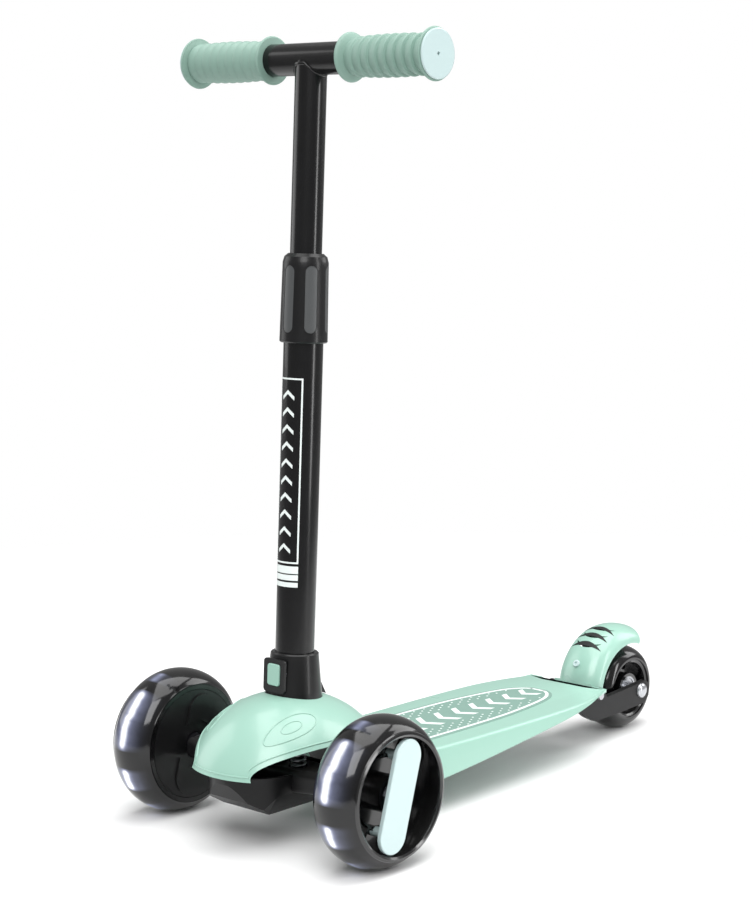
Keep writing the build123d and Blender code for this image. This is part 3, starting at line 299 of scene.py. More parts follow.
def build_wear_group():
    """Mask of convex edges, broken up by noise, that carries a painted highlight along them."""
    group, enter, leave = shader_group("Painted Edge Highlight", [("Reach", 0.5), ("Break Up", 60.0)], ["Mask"])
    # painted highlight: convex edges found by pointiness, later lightened towards a lighter grey
    pointed = group.nodes.new("ShaderNodeNewGeometry").outputs["Pointiness"]
    edge = math_node(group, "MULTIPLY", math_node(group, "SUBTRACT", pointed, 0.52), 14.0, clamp=True)
    patchy = noise_node(group, object_coordinates(group), enter.outputs["Break Up"], 4.0)
    broken = math_node(group, "MULTIPLY", edge, patchy)
    mask = math_node(group, "MULTIPLY", broken, enter.outputs["Reach"], clamp=True)
    link(group, mask, leave.inputs["Mask"])
    return group


def build_dust_group():
    """Mask of the thin dust that settles on what faces up."""
    group, enter, leave = shader_group("Settled Dust", [("Amount", 0.1)], ["Mask"])
    normal = group.nodes.new("ShaderNodeNewGeometry").outputs["Normal"]
    split = separated(group, normal)
    up = math_node(group, "MAXIMUM", split.outputs["Z"], 0.0)
    patchy = noise_node(group, object_coordinates(group), 35.0, 5.0)
    mask = math_node(group, "MULTIPLY", math_node(group, "MULTIPLY", up, patchy), enter.outputs["Amount"])
    link(group, mask, leave.inputs["Mask"])
    return group


GROUPS = {}


def add_group(tree, name, **values):
    """Places a shared group in a material with its own values."""
    if name not in GROUPS:
        makers = {
            "Moulded Grain": build_grain_group,
            "Painted Edge Highlight": build_wear_group,
            "Settled Dust": build_dust_group,
        }
        GROUPS[name] = makers[name]()
    node = tree.nodes.new("ShaderNodeGroup")
    node.node_tree = GROUPS[name]
    preset(node, {label.replace("_", " "): value for label, value in values.items()})
    return node


def mixed_colour(tree, mask, first, second):
    """Colour mix. first and second are colours or sockets."""
    node = tree.nodes.new("ShaderNodeMix")
    node.data_type = "RGBA"
    link(tree, mask, node.inputs["Factor"])
    for value, socket in ((first, node.inputs[6]), (second, node.inputs[7])):
        if hasattr(value, "is_linked"):
            link(tree, value, socket)
        else:
            socket.default_value = (*value[:3], 1.0)
    return node.outputs[2]


# ---- finishes


def finish(
    name, colour, roughness, metallic=0.0, coat=0.0, grain=0.0, grain_scale=900.0, mottle=0.05,
    wear=0.0, wear_colour=(0.5, 0.5, 0.5), dust=0.0, specular=0.5,
):
    """Principled material with moulded grain, slow mottling, a painted highlight on convex edges, and dust."""
    material = bpy.data.materials.new(name)
    material.use_nodes = True
    tree = material.node_tree
    shader = tree.nodes["Principled BSDF"]
    shine = {"Metallic": metallic, "Coat Weight": coat, "Coat Roughness": 0.08}
    preset(shader, {**shine, "Specular IOR Level": specular})
    grains = add_group(tree, "Moulded Grain", Grain_Scale=grain_scale, Mottle_Scale=16.0)
    darker = tuple(c * (1 - mottle) for c in colour)
    base = mixed_colour(tree, grains.outputs["Mottle"], colour, darker)
    # painted highlight: convex edges mixed towards a lighter grey
    if wear > 0:
        highlighted_edges = add_group(tree, "Painted Edge Highlight", Reach=wear, Break_Up=70.0)
        base = mixed_colour(tree, highlighted_edges.outputs["Mask"], base, wear_colour)
    if dust > 0:
        settled = add_group(tree, "Settled Dust", Amount=dust)
        base = mixed_colour(tree, settled.outputs["Mask"], base, (0.62, 0.61, 0.58))
    link(tree, base, shader.inputs["Base Color"])
    rough = math_node(tree, "MULTIPLY_ADD", grains.outputs["Mottle"], 0.12, roughness - 0.06, clamp=True)
    link(tree, rough, shader.inputs["Roughness"])
    if grain > 0:
        bump = tree.nodes.new("ShaderNodeBump")
        preset(bump, {"Strength": grain, "Distance": 0.2 * MM})
        link(tree, grains.outputs["Height"], bump.inputs["Height"])
        link(tree, bump.outputs["Normal"], shader.inputs["Normal"])
    return material


def srgb(red, green, blue):
    """Linear colour of an 8-bit display colour."""
    out = []
    for value in (red, green, blue):
        c = value / 255
        out.append(c / 12.92 if c <= 0.04045 else ((c + 0.055) / 1.055) ** 2.4)
    return tuple(out)


MINT = srgb(150, 190, 175)
MINT_DEEP = srgb(118, 150, 139)
GRIP_MINT = srgb(128, 158, 146)


def glowing_rubber(name, wheel):
    """Smoky glossy tyre lit from inside by lamps, seen as soft patches round the tread."""
    material = finish(name, srgb(5, 5, 7), 0.13, coat=0.25, specular=0.35, grain=0.03, mottle=0.3, dust=0.03)
    tree = material.node_tree
    calc = partial(math_node, tree)
    shader = tree.nodes["Principled BSDF"]
    split = separated(tree, object_coordinates(tree))
    across = calc("SUBTRACT", split.outputs["X"], wheel.x)
    forward = calc("SUBTRACT", wheel.y, split.outputs["Y"])
    upward = calc("SUBTRACT", split.outputs["Z"], wheel.z)
    turn = calc("ARCTAN2", upward, forward)
    squares = [calc("POWER", reach, 2.0) for reach in (forward, upward)]
    radius = calc("SQRT", calc("ADD", *squares))
    past_lip = calc("SUBTRACT", radius, WHEEL_R - 9.5 * MM)
    tread = calc("MULTIPLY", past_lip, 1 / (7 * MM), clamp=True)
    total = None
    for middle_deg, half_deg, core, strength in LAMPS:
        away = calc("ABSOLUTE", calc("SUBTRACT", turn, math.radians(middle_deg)))
        share = calc("DIVIDE", away, math.radians(half_deg))
        along = calc("SUBTRACT", 1.0, share, clamp=True)
        along = calc("SMOOTH_MIN", calc("MULTIPLY", along, 3.0), 1.0, 0.4)
        side = calc("DIVIDE", calc("SUBTRACT", across, core * MM), 11 * MM)
        spread = calc("POWER", side, 2.0)
        bell = calc("EXPONENT", calc("MULTIPLY", spread, -1.0))
        thin = calc("EXPONENT", calc("MULTIPLY", spread, -9.0))
        glow = calc("MULTIPLY_ADD", thin, 1.6, calc("MULTIPLY", bell, 0.45))
        glow = calc("MULTIPLY", calc("MULTIPLY", glow, along), strength)
        total = glow if total is None else calc("ADD", total, glow)
    total = calc("MULTIPLY", total, tread)
    streak = noise_node(tree, object_coordinates(tree), 90.0, 2.0)
    total = calc("MULTIPLY", total, calc("MULTIPLY_ADD", streak, 0.9, 0.45))
    ramp = tree.nodes.new("ShaderNodeValToRGB")
    ramp.color_ramp.elements[0].color = (0, 0, 0, 1)
    ramp.color_ramp.elements[1].color = (0.93, 0.95, 1.0, 1)
    middle_stop = ramp.color_ramp.elements.new(0.45)
    middle_stop.color = (0.22, 0.24, 0.36, 1)
    link(tree, calc("MULTIPLY", total, 0.8, clamp=True), ramp.inputs["Fac"])
    link(tree, ramp.outputs["Color"], shader.inputs["Emission Color"])
    shader.inputs["Emission Strength"].default_value = 1.15
    return material


# Lamp patches round a front tyre: middle and half spread in degrees above the forward horizontal,
# distance from the tread's middle in millimetres, and strength.
LAMPS = (
    (40.0, 14.0, 1.0, 0.95),
    (16.0, 15.0, -1.0, 1.0),
    (-24.0, 11.0, 0.0, 0.9),
    (-60.0, 8.0, 2.0, 0.3),
    (70.0, 7.0, 0.0, 0.28),
)


def studio_paper(colour):
    """Pale floor that fades out beyond the scooter, so that it has no horizon."""
    material = finish("Studio Floor", colour, 0.8, mottle=0.01)
    tree = material.node_tree
    apart = separated(tree, object_coordinates(tree))
    across = math_node(tree, "POWER", apart.outputs["X"], 2.0)
    along = math_node(tree, "POWER", apart.outputs["Y"], 2.0)
    away = math_node(tree, "SQRT", math_node(tree, "ADD", across, along))
    fade = math_node(tree, "MULTIPLY_ADD", away, -1 / FLOOR_FADE, 1 + FLOOR_SOLID / FLOOR_FADE, clamp=True)
    link(tree, fade, tree.nodes["Principled BSDF"].inputs["Alpha"])
    return material


def build_finishes():
    """Every finish of the scooter, by name."""
    dusted = partial(finish, dust=0.02)
    metal = partial(finish, metallic=1.0)
    return {
        "mint": dusted("Mint Gloss Plastic", MINT, 0.30, coat=0.25, grain=0.05, mottle=0.04),
        "mint_trim": dusted("Mint Trim Plastic", MINT, 0.28, coat=0.3, grain=0.04, mottle=0.04),
        "grip": finish(
            "Mint Grip Rubber", GRIP_MINT, 0.52, grain=0.25, grain_scale=1400.0, mottle=0.07, dust=0.03
        ),
        "pad": finish(
            "Deck Pad Rubber", MINT_DEEP, 0.62, grain=0.5, grain_scale=1800.0, mottle=0.06, dust=0.04
        ),
        "print": finish("White Print", srgb(226, 234, 232), 0.5, grain=0.1, mottle=0.03),
        "bar": finish("Ice Mint Gloss", srgb(186, 206, 206), 0.24, coat=0.4, grain=0.03, mottle=0.03),
        # painted highlight: the edge values below lighten convex edges of the black parts towards a lighter grey
        "tube": dusted(
            "Black Powder Coat", srgb(7, 7, 8), 0.24, coat=0.3, grain=0.12, grain_scale=1600.0,
            mottle=0.2, specular=0.28, wear=0.25, wear_colour=srgb(34, 34, 36),
        ),
        "black": finish(
            "Black Moulded Plastic", srgb(13, 13, 14), 0.36, grain=0.22, grain_scale=1200.0,
            mottle=0.15, specular=0.25, wear=0.3, wear_colour=srgb(36, 36, 38), dust=0.03,
        ),
        "collar": dusted(
            "Black Collar Plastic", srgb(20, 20, 21), 0.33, coat=0.1, grain=0.15, grain_scale=1300.0,
            mottle=0.12, specular=0.28, wear=0.25, wear_colour=srgb(44, 44, 46),
        ),
        "inset": finish("Grey Soft Inset", srgb(72, 74, 75), 0.4, grain=0.2, mottle=0.08),
        "hub": dusted("Glossy Black Hub", srgb(10, 10, 11), 0.2, coat=0.5, grain=0.04, mottle=0.15),
        "cover": dusted("Black Hub Cover", srgb(16, 16, 17), 0.3, coat=0.2, grain=0.08, mottle=0.15),
        "zinc": metal("Bright Zinc Steel", srgb(190, 192, 196), 0.3, grain=0.06, mottle=0.12),
        "spring": metal("Spring Steel Wire", srgb(150, 152, 156), 0.35, grain=0.05, mottle=0.15),
        "bearing": metal("Ground Bearing Steel", srgb(170, 172, 176), 0.25, grain=0.03, mottle=0.1),
        "acetal": finish("Natural Acetal", srgb(214, 212, 202), 0.4, grain=0.08, mottle=0.04),
        "brake": finish("Brake Pad Rubber", srgb(22, 22, 22), 0.75, grain=0.5, mottle=0.25),
        "lamp": finish("Lamp Board Plastic", srgb(215, 220, 224), 0.3, grain=0.05, mottle=0.05),
        "magnet": finish("Dark Magnet", srgb(32, 32, 36), 0.45, metallic=0.6, grain=0.1, mottle=0.1),
        # painted shade: dark colour of the plates that stand for the shade inside the fender's slots
        "slot": finish("Painted Slot Shade", srgb(12, 16, 15), 0.6, grain=0.2, mottle=0.1),
        "left_tread": glowing_rubber("Left Lit Tyre", middle("left_tyre")),
        "right_tread": glowing_rubber("Right Lit Tyre", middle("right_tyre")),
        "rear_tread": finish(
            "Black Gloss Tyre", srgb(6, 6, 7), 0.16, coat=0.25, grain=0.05, mottle=0.3, dust=0.03
        ),
        "floor": studio_paper(tuple(bpy.context.scene.scooter.floor_colour)),
    }


FINISHES = {}

# The CAD nodes that keep their shape, under the finish that each takes.
CARRIED = {
    "black": "deck_spine rear_fork front_base truck_beam bar_end_plugs",
    "zinc": (
        "deck_screws rear_axle_bolt rear_axle_nut rear_spacers rear_bearing_spacer fender_pin "
        "bonnet_screws pivot_bolt pivot_nut left_axle right_axle front_axle_nuts "
        "left_bearing_spacer right_bearing_spacer"
    ),
    "spring": "fender_spring lean_springs button_springs",
    "mint": "bonnet",
    "collar": "stem_socket button_surround twist_collar",
    "acetal": "pivot_washers truck_bushes clamp_sleeve guide_bush",
    "magnet": "light_magnets",
    "hub": "rear_hub left_hub right_hub",
    "bearing": "rear_wheel_bearings left_wheel_bearings right_wheel_bearings",
    "mint_trim": "fender release_button",
    "brake": "brake_pad",
    "bar": "fender_screw left_hub_bar right_hub_bar",
    "tube": "lower_tube upper_tube crossbar",
    "inset": "collar_insets",
    "cover": "left_hub_cover right_hub_cover",
    "lamp": "left_wheel_lights right_wheel_lights",
}
SLOT_OF = {part["node"]: part["material_slot"] for part in frame["record"]["subparts"]}
BODY_OF = {node: body for body, nodes in frame["record"]["behaviour"]["bodies"].items() for node in nodes}


def place(piece, body, slot, finish_name, *nodes):
    """Gives a finished piece its material and body, and hides the CAD nodes that it stands for. The slot argument
    is not used.
    """
    piece.data.materials.clear()
    piece.data.materials.append(FINISHES[finish_name])
    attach(piece, body)
    if nodes:
        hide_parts(*nodes)
    return piece


# ---- sizes a user would change


class ScooterFinish(bpy.types.PropertyGroup):
    grip_ribs: IntProperty(name="Grip Ribs", description="Raised rings along each grip", default=9, min=4)
    rib_height: FloatProperty(
        name="Rib Height", description="Step of each grip ring", default=0.0021, unit="LENGTH"
    )
    dot_pitch: FloatProperty(
        name="Dot Pitch", description="Spacing of the deck pad's raised dots", default=0.0078, unit="LENGTH"
    )
    floor_colour: FloatVectorProperty(
        name="Floor Colour",
        description="Colour of the studio floor",
        default=(0.9, 0.9, 0.9),
        subtype="COLOR",
    )
    lens: FloatProperty(name="Lens", description="Camera's focal length", default=85.24, unit="CAMERA")


def merged_copy(node):
    """Copy of a CAD node's mesh with its loose triangles joined along their edges."""
    mesh = frame["nodes"][node].data.copy()
    mesh.name = f"{node}_skin"
    reform(mesh, lambda form: bmesh.ops.remove_doubles(form, verts=form.verts, dist=MERGE_REACH))
    if mesh.has_custom_normals:
        mesh.attributes.remove(mesh.attributes["custom_normal"])
    shade(mesh, 28.0)
    return linked(f"{node}_skin", mesh)


class SCOOTER_OT_carry(bpy.types.Operator):
    """Gives a merged skin to each CAD node that keeps its shape"""

    bl_idname = "scooter.carry"
    bl_label = "Build Carried Parts"

    def execute(self, context):
        for finish_name, nodes in CARRIED.items():
            for node in nodes.split():
                place(merged_copy(node), BODY_OF[node], SLOT_OF[node], finish_name, node)
        return {"FINISHED"}


class SCOOTER_OT_finishes(bpy.types.Operator):
    """Builds the shared shader groups and every material"""

    bl_idname = "scooter.finishes"
    bl_label = "Build Finishes"

    def execute(self, context):
        FINISHES.update(build_finishes())
        return {"FINISHED"}


def tread_profile(centre_x, half, radius, bulge, seat, shoulder, steps=28):
    """Closed (x, radius) outline of a crowned tyre, upright from its seat to its shoulder."""
    outer = []
    for i in range(steps + 1):
        u = math.sin(math.radians(-90 + 180 * i / steps))
        x = half * u
        r = radius - bulge + bulge * math.sqrt(max(0.0, 1 - u * u))
        if r > seat:
            outer.append((centre_x + x, r))
    left, right = centre_x - half * 0.985, centre_x + half * 0.985
    crown = [point for point in outer if point[1] > shoulder]
    return [(left, seat), (left, shoulder), *crown, (right, shoulder), (right, seat)]


class SCOOTER_OT_tyres(bpy.types.Operator):
    """Turns the two lit front tyres and the rear tyre"""

    bl_idname = "scooter.tyres"
    bl_label = "Build Tyres"

    def execute(self, context):
        seat = extent("left_hub").z / 2 - 1.6 * MM
        rear_seat, rear_shoulder = 28.02 * MM, 28.6 * MM
        for side in SIDES:
            centre = middle(f"{side}_tyre")
            profile = tread_profile(centre.x, WHEEL_HALF, WHEEL_R, 14 * MM, seat, seat + 0.8 * MM)
            tyre = turned(f"{side}_tread", profile, centre, 160)
            place(tyre, f"front_wheel_{side}", "black_tyre", f"{side}_tread", f"{side}_tyre")
        centre = middle("rear_tyre")
        profile = tread_profile(centre.x, REAR_HALF, REAR_R, 12 * MM, rear_seat, rear_shoulder)
        tyre = turned("rear_tread", profile, centre, 128)
        place(tyre, "rear_wheel", "black_tyre", "rear_tread", "rear_tyre")
        return {"FINISHED"}


def grip_profile(low_x, high_x, ribs, rib_height):
    """Closed (x, radius) outline of the left grip: flange, overlapping rings and a domed end disc."""
    flange_r, disc_r = 19.3 * MM, 20.4 * MM
    neck_r, belly_r = 13.2 * MM, 14.6 * MM
    bore_r, tube_r = 12.8 * MM, 11.15 * MM
    step_x = low_x + 4.9 * MM
    outline = [(low_x, bore_r), (low_x, flange_r - 1.2 * MM)]
    outline += arc((low_x + 1.2 * MM, flange_r - 1.2 * MM), 1.2 * MM, 180, 60, 6)
    outline += [(low_x + 3.4 * MM, flange_r - 1.6 * MM), (low_x + 4.0 * MM, neck_r + 2.4 * MM)]
    start, end = low_x + 5.0 * MM, high_x - 4.9 * MM
    pitch = (end - start) / ribs
    for i in range(ribs):
        swell = math.sin(math.pi * (i + 1) / (ribs + 1.0))
        base = neck_r + (belly_r - neck_r) * swell
        left = start + i * pitch
        outline += [
            (left + 0.02 * pitch, base),
            (left + 0.10 * pitch, base + 0.15 * rib_height),
            (left + 0.55 * pitch, base + 0.75 * rib_height),
            (left + 0.82 * pitch, base + rib_height),
            (left + 0.92 * pitch, base + 0.85 * rib_height),
            (left + 0.98 * pitch, base + 0.3 * rib_height),
        ]
    outline += [(end + 0.5 * MM, disc_r - 3.5 * MM), (end + 1.0 * MM, disc_r - 1.2 * MM)]
    outline += arc((end + 1.9 * MM, disc_r - 1.1 * MM), 1.1 * MM, 140, 20, 6)
    outline += [(high_x - 0.9 * MM, disc_r * 0.78), (high_x - 0.15 * MM, disc_r * 0.4), (high_x, 1.9 * MM)]
    outline += [(high_x - 0.5 * MM, 1.25 * MM), (high_x - 4.4 * MM, 1.2 * MM)]
    outline += [(high_x - 4.4 * MM, tube_r), (step_x, tube_r), (step_x, bore_r)]
    return outline


class SCOOTER_OT_grips(bpy.types.Operator):
    """Turns both ribbed grips"""

    bl_idname = "scooter.grips"
    bl_label = "Build Grips"

    def execute(self, context):
        sizes = context.scene.scooter
        low, high = node_box("left_grip")
        profile = grip_profile(low.x, high.x, sizes.grip_ribs, sizes.rib_height)
        for side, sign in SIDES.items():
            grip = turned(f"{side}_hand_grip", [(sign * x, r) for x, r in profile], BAR_CENTRE, 96, 40.0)
            place(grip, "handlebar", "mint_grip", "grip", f"{side}_grip")
            face = extent("left_grip").z / 2 - 1.4 * MM
            end = high.x + 0.35 * MM
            plate = [
                (end - 1.5 * MM, 1.1 * MM),
                (end, 1.5 * MM),
                (end, face - 0.8 * MM),
                (end - 0.5 * MM, face),
                (end - 1.5 * MM, face),
            ]
            cap = turned(f"{side}_grip_cap", [(sign * x, r) for x, r in plate], BAR_CENTRE, 96, 30.0)
            place(cap, "handlebar", "mint_grip", "bar")
        return {"FINISHED"}


# ---- repeated details by Geometry Nodes


def repeat_tree(name, finish_name, shape):
    """Node tree that stands one small solid on each point, turned by the point's attribute."""
    tree = bpy.data.node_groups.new(name, "GeometryNodeTree")
    tree.interface.new_socket("Geometry", in_out="INPUT", socket_type="NodeSocketGeometry")
    for label in ("Width", "Length", "Height"):
        socket = tree.interface.new_socket(label, in_out="INPUT", socket_type="NodeSocketFloat")
        socket.default_value = 0.001
    tree.interface.new_socket("Geometry", in_out="OUTPUT", socket_type="NodeSocketGeometry")
    enter = tree.nodes.new("NodeGroupInput")
    leave = tree.nodes.new("NodeGroupOutput")
    if shape == "stud":
        solid = tree.nodes.new("GeometryNodeMeshCylinder")
        solid.inputs["Vertices"].default_value = 10
        link(tree, math_node(tree, "MULTIPLY", enter.outputs["Width"], 0.5), solid.inputs["Radius"])
        link(tree, enter.outputs["Height"], solid.inputs["Depth"])
    else:
        solid = tree.nodes.new("GeometryNodeMeshCube")
        size = tree.nodes.new("ShaderNodeCombineXYZ")
        link(tree, enter.outputs["Length"], size.inputs["X"])
        link(tree, enter.outputs["Width"], size.inputs["Y"])
        link(tree, enter.outputs["Height"], size.inputs["Z"])
        link(tree, size.outputs[0], solid.inputs["Size"])
    spread = tree.nodes.new("GeometryNodeInstanceOnPoints")
    link(tree, enter.outputs["Geometry"], spread.inputs["Points"])
    link(tree, solid.outputs["Mesh"], spread.inputs["Instance"])
    read = tree.nodes.new("GeometryNodeInputNamedAttribute")
    read.data_type = "FLOAT_VECTOR"
    preset(read, {"Name": "turn"})
    link(tree, read.outputs["Attribute"], spread.inputs["Rotation"])
    real = tree.nodes.new("GeometryNodeRealizeInstances")
    paint = tree.nodes.new("GeometryNodeSetMaterial")
    paint.inputs["Material"].default_value = FINISHES[finish_name]
    link(tree, spread.outputs["Instances"], real.inputs["Geometry"])
    link(tree, real.outputs["Geometry"], paint.inputs["Geometry"])
    link(tree, paint.outputs["Geometry"], leave.inputs["Geometry"])
    return tree


def repeated(name, finish_name, shape, points, width, length, height, smooth_angle=30.0):
    """Plain mesh of one solid per point. points holds (place, turn)."""
    mesh = bpy.data.meshes.new(name + "_places")
    mesh.from_pydata([tuple(place) for place, _ in points], [], [])
    attribute = mesh.attributes.new("turn", "FLOAT_VECTOR", "POINT")
    attribute.data.foreach_set("vector", [c for _, turn in points for c in turn])
    host = linked(name + "_places", mesh)
    tree = repeat_tree(name.replace("_", " ").title(), finish_name, shape)
    modifier = host.modifiers.new("Repeat", "NODES")
    modifier.node_group = tree
    sizes = {"Width": width, "Length": length, "Height": height}
    for item in tree.interface.items_tree:
        if item.in_out == "INPUT" and item.name in sizes:
            modifier[item.identifier] = sizes[item.name]
    graph = bpy.context.evaluated_depsgraph_get()
    result = bpy.data.meshes.new_from_object(host.evaluated_get(graph), depsgraph=graph)
    host.modifiers.remove(modifier)
    bpy.data.objects.remove(host)
    if "turn" in result.attributes:
        result.attributes.remove(result.attributes["turn"])
    shade(result, smooth_angle)
    return linked(name, result)


# ---- deck


def flank_outline(right, front_steps, rear_steps, rear_dip=0.0):
    """Closed plan from its right flank, front to rear: straight across in front, dipped in behind."""
    dip_half, dip_ease = 31 * MM, 7 * MM
    flank = smooth_line(right, 10)
    (x0, y0), (x1, y1) = flank[0], flank[-1]
    rear = []
    for i in range(1, rear_steps):
        t = i / rear_steps
        x = x1 * (1 - 2 * t)
        dip = max(0.0, min(1.0, (dip_half - abs(x)) / dip_ease))
        rear.append((x, y1 - rear_dip * dip * dip * (3 - 2 * dip)))
    front = [(-x0 + 2 * x0 * i / front_steps, y0) for i in range(1, front_steps)]
    return flank + rear + [(-x, y) for x, y in reversed(flank)] + front


def outward(outline):
    """Unit normals of a closed plan that runs from the right flank rearward round to the front."""
    normals = []
    count = len(outline)
    for i in range(count):
        (ax, ay), (bx, by) = outline[i - 1], outline[(i + 1) % count]
        tangent = Vector((bx - ax, by - ay)).normalized()
        normals.append(Vector((tangent.y, -tangent.x)))
    return normals


def plan_ring(outline, normals, grow, flare, height, follow):
    """Ring grown outward by grow, and by flare for each metre of skirt, at a height that follows its foot."""
    ring = []
    for (x, y), n in zip(outline, normals):
        foot = skirt_foot(y)
        out = grow + flare * (DECK_TOP - foot)
        ring.append(Vector((x + n.x * out, y + n.y * out, height + follow * foot)))
    return ring


def deck_outline():
    low, high = node_box("deck")
    front, rear = low.y + 4.0 * MM, high.y - 1.2 * MM
    length = rear - front
    half = 62 * MM
    right = [
        (0.645 * half, front),
        (0.84 * half, front + 0.035 * length),
        (0.94 * half, front + 0.13 * length),
        (half, front + 0.345 * length),
        (half, front + 0.70 * length),
        (0.915 * half, front + 0.86 * length),
        (0.71 * half, rear),
    ]
    return flank_outline(right, 16, 40, 5.0 * MM)


def skirt_foot(y):
    """Height of the deck's lower edge, which climbs to the rear."""
    low, _ = node_box("deck")
    return low.z + 1.2 * MM + 0.103 * (y - low.y)


class SCOOTER_OT_deck(bpy.types.Operator):
    """Forms the deck's shell with its flared skirts and the cross ribs beneath"""

    bl_idname = "scooter.deck"
    bl_label = "Build Deck"

    def execute(self, context):
        under = DECK_TOP - 4 * MM
        flare = math.tan(math.radians(8))
        outline = deck_outline()
        normals = outward(outline)
        wall, round_r, lip = 3.0 * MM, 3.2 * MM, 0.5 * MM
        levels = []
        for i in range(7):
            a = math.radians(82 * i / 6)
            levels.append((round_r * (math.sin(a) - 1), 0, DECK_TOP - round_r * (1 - math.cos(a)), 0))
        for share in (0.5, 1.0):
            levels.append((0, flare * share, (DECK_TOP - round_r) * (1 - share), share))
        levels.append((-lip, flare, -0.6 * MM, 1))
        levels.append((lip - wall, flare, -0.6 * MM, 1))
        levels.append((-wall, flare, 0, 1))
        levels.append((0.4 * MM - wall, 0, under, 0))
        shell = Shell()
        shell.rings([plan_ring(outline, normals, *level) for level in levels])
        deck = shell.build("deck_shell", 32.0)
        place(deck, "deck", "mint_shell", "mint", "deck")
        low, _ = node_box("deck")
        ribs = []
        for i in range(9):
            y = low.y + (38 + 28 * i) * MM
            for sign in SIDES.values():
                ribs.append((Vector((sign * 38 * MM, y, under - 3.4 * MM)), (0, 0, 0)))
        pieces = repeated("deck_ribs", "mint", "bar", ribs, 1.8 * MM, 30 * MM, 7 * MM)
        place(pieces, "deck", "mint_shell", "mint")
        return {"FINISHED"}


def pad_outline(inset):
    """Plan of the grip pad, pulled in by inset: square shoulders in front, rounded to a tip behind."""
    low, high = node_box("grip_pad")
    front, tip = low.y, high.y
    half = 40 * MM
    right = [
        (half - 21 * MM, front),
        (half - 7 * MM, front + 4 * MM),
        (half - 1.5 * MM, front + 16 * MM),
        (half, front + 45 * MM),
        (half - 0.6 * MM, front + 130 * MM),
        (half - 5.5 * MM, front + 180 * MM),
        (half - 12 * MM, tip - 25 * MM),
        (half - 22 * MM, tip - 8 * MM),
        (half - 32 * MM, tip - 1.2 * MM),
    ]
    outline = flank_outline(right, 8, 4)
    normals = outward(outline)
    return [(x - n.x * inset, y - n.y * inset) for (x, y), n in zip(outline, normals)]


def inside(point, outline):
    x, y = point
    found = False
    for i, (ax, ay) in enumerate(outline):
        bx, by = outline[i - 1]
        if (ay > y) != (by > y) and x < (bx - ax) * (y - ay) / (by - ay) + ax:
            found = not found
    return found


def flat_ring(shell, outer, inner, low, high):
    """Closed flat band between two plans of the same length."""
    rings = []
    for (ax, ay), (bx, by) in zip(outer, inner):
        section = ((ax, ay, low), (ax, ay, high), (bx, by, high), (bx, by, low))
        rings.append([Vector(point) for point in section])
    shell.rings(rings, looped=True)


class SCOOTER_OT_pad(bpy.types.Operator):
    """Lays the non-slip pad with its white border, arrow motif and rows of dots"""

    bl_idname = "scooter.pad"
    bl_label = "Build Deck Pad"

    def execute(self, context):
        low, high = node_box("grip_pad")
        top = high.z - 0.3 * MM
        shell = Shell()
        plans = [(0.15 * MM, low.z), (0.15 * MM, top - 0.5 * MM), (0.65 * MM, top)]
        shell.rings([[Vector((x, y, z)) for x, y in pad_outline(inset)] for inset, z in plans])
        place(shell.build("deck_pad", 30.0), "deck", "grip_tape", "pad", "grip_pad")
        print_low, print_high = top - 0.05 * MM, top + 0.15 * MM
        shell = Shell()
        flat_ring(shell, pad_outline(3.2 * MM), pad_outline(6.2 * MM), print_low, print_high)
        # a row of arrowheads down the middle
        count = 9
        start, end = low.y + 22 * MM, high.y - 30 * MM
        pitch = (end - start) / (count - 1)
        for i in range(count):
            y = start + i * pitch
            wide = (15.5 - 0.55 * i) * MM
            deep, thick = 9 * MM, 6.5 * MM
            plan = [
                (0, y),
                (wide, y + deep),
                (wide, y + deep + thick),
                (0, y + thick),
                (-wide, y + deep + thick),
                (-wide, y + deep),
            ]
            shell.rings([[Vector((x, v, z)) for x, v in reversed(plan)] for z in (print_low, print_high)])
        place(shell.build("pad_print", 30.0), "deck", "grip_tape", "print")
        border = pad_outline(8.4 * MM)
        pitch = context.scene.scooter.dot_pitch
        dots = []
        rows = int((high.y - low.y) / (pitch * 0.866)) + 1
        for i in range(rows):
            y = low.y + i * pitch * 0.866
            for j in range(-8, 9):
                x = (j + (0.5 if i % 2 else 0.0)) * pitch
                if abs(x) > 18.5 * MM and inside((x, y), border):
                    dots.append((Vector((x, y, top + 0.02 * MM)), (0, 0, 0)))
        studs = repeated("pad_dots", "print", "stud", dots, 1.9 * MM, 1.9 * MM, 0.3 * MM)
        place(studs, "deck", "grip_tape", "print")
        return {"FINISHED"}


# ---- stem


def tube_plate(shell, radius, corners, steps=10):
    """Thin plate wrapped round the stem. corners are four (angle, height) in degrees and metres."""
    sunk, proud = -0.05 * MM, 0.14 * MM
    (a0, s0), (a1, s1), (a2, s2), (a3, s3) = corners
    rings = []
    for j in range(steps + 1):
        t = j / steps
        near = (a0 + (a1 - a0) * t, s0 + (s1 - s0) * t)
        far = (a3 + (a2 - a3) * t, s3 + (s2 - s3) * t)
        section = ((near, sunk), (far, sunk), (far, proud), (near, proud))
        rings.append([on_stem(s, radius + lift, math.radians(a)) for (a, s), lift in section])
    shell.rings(rings)


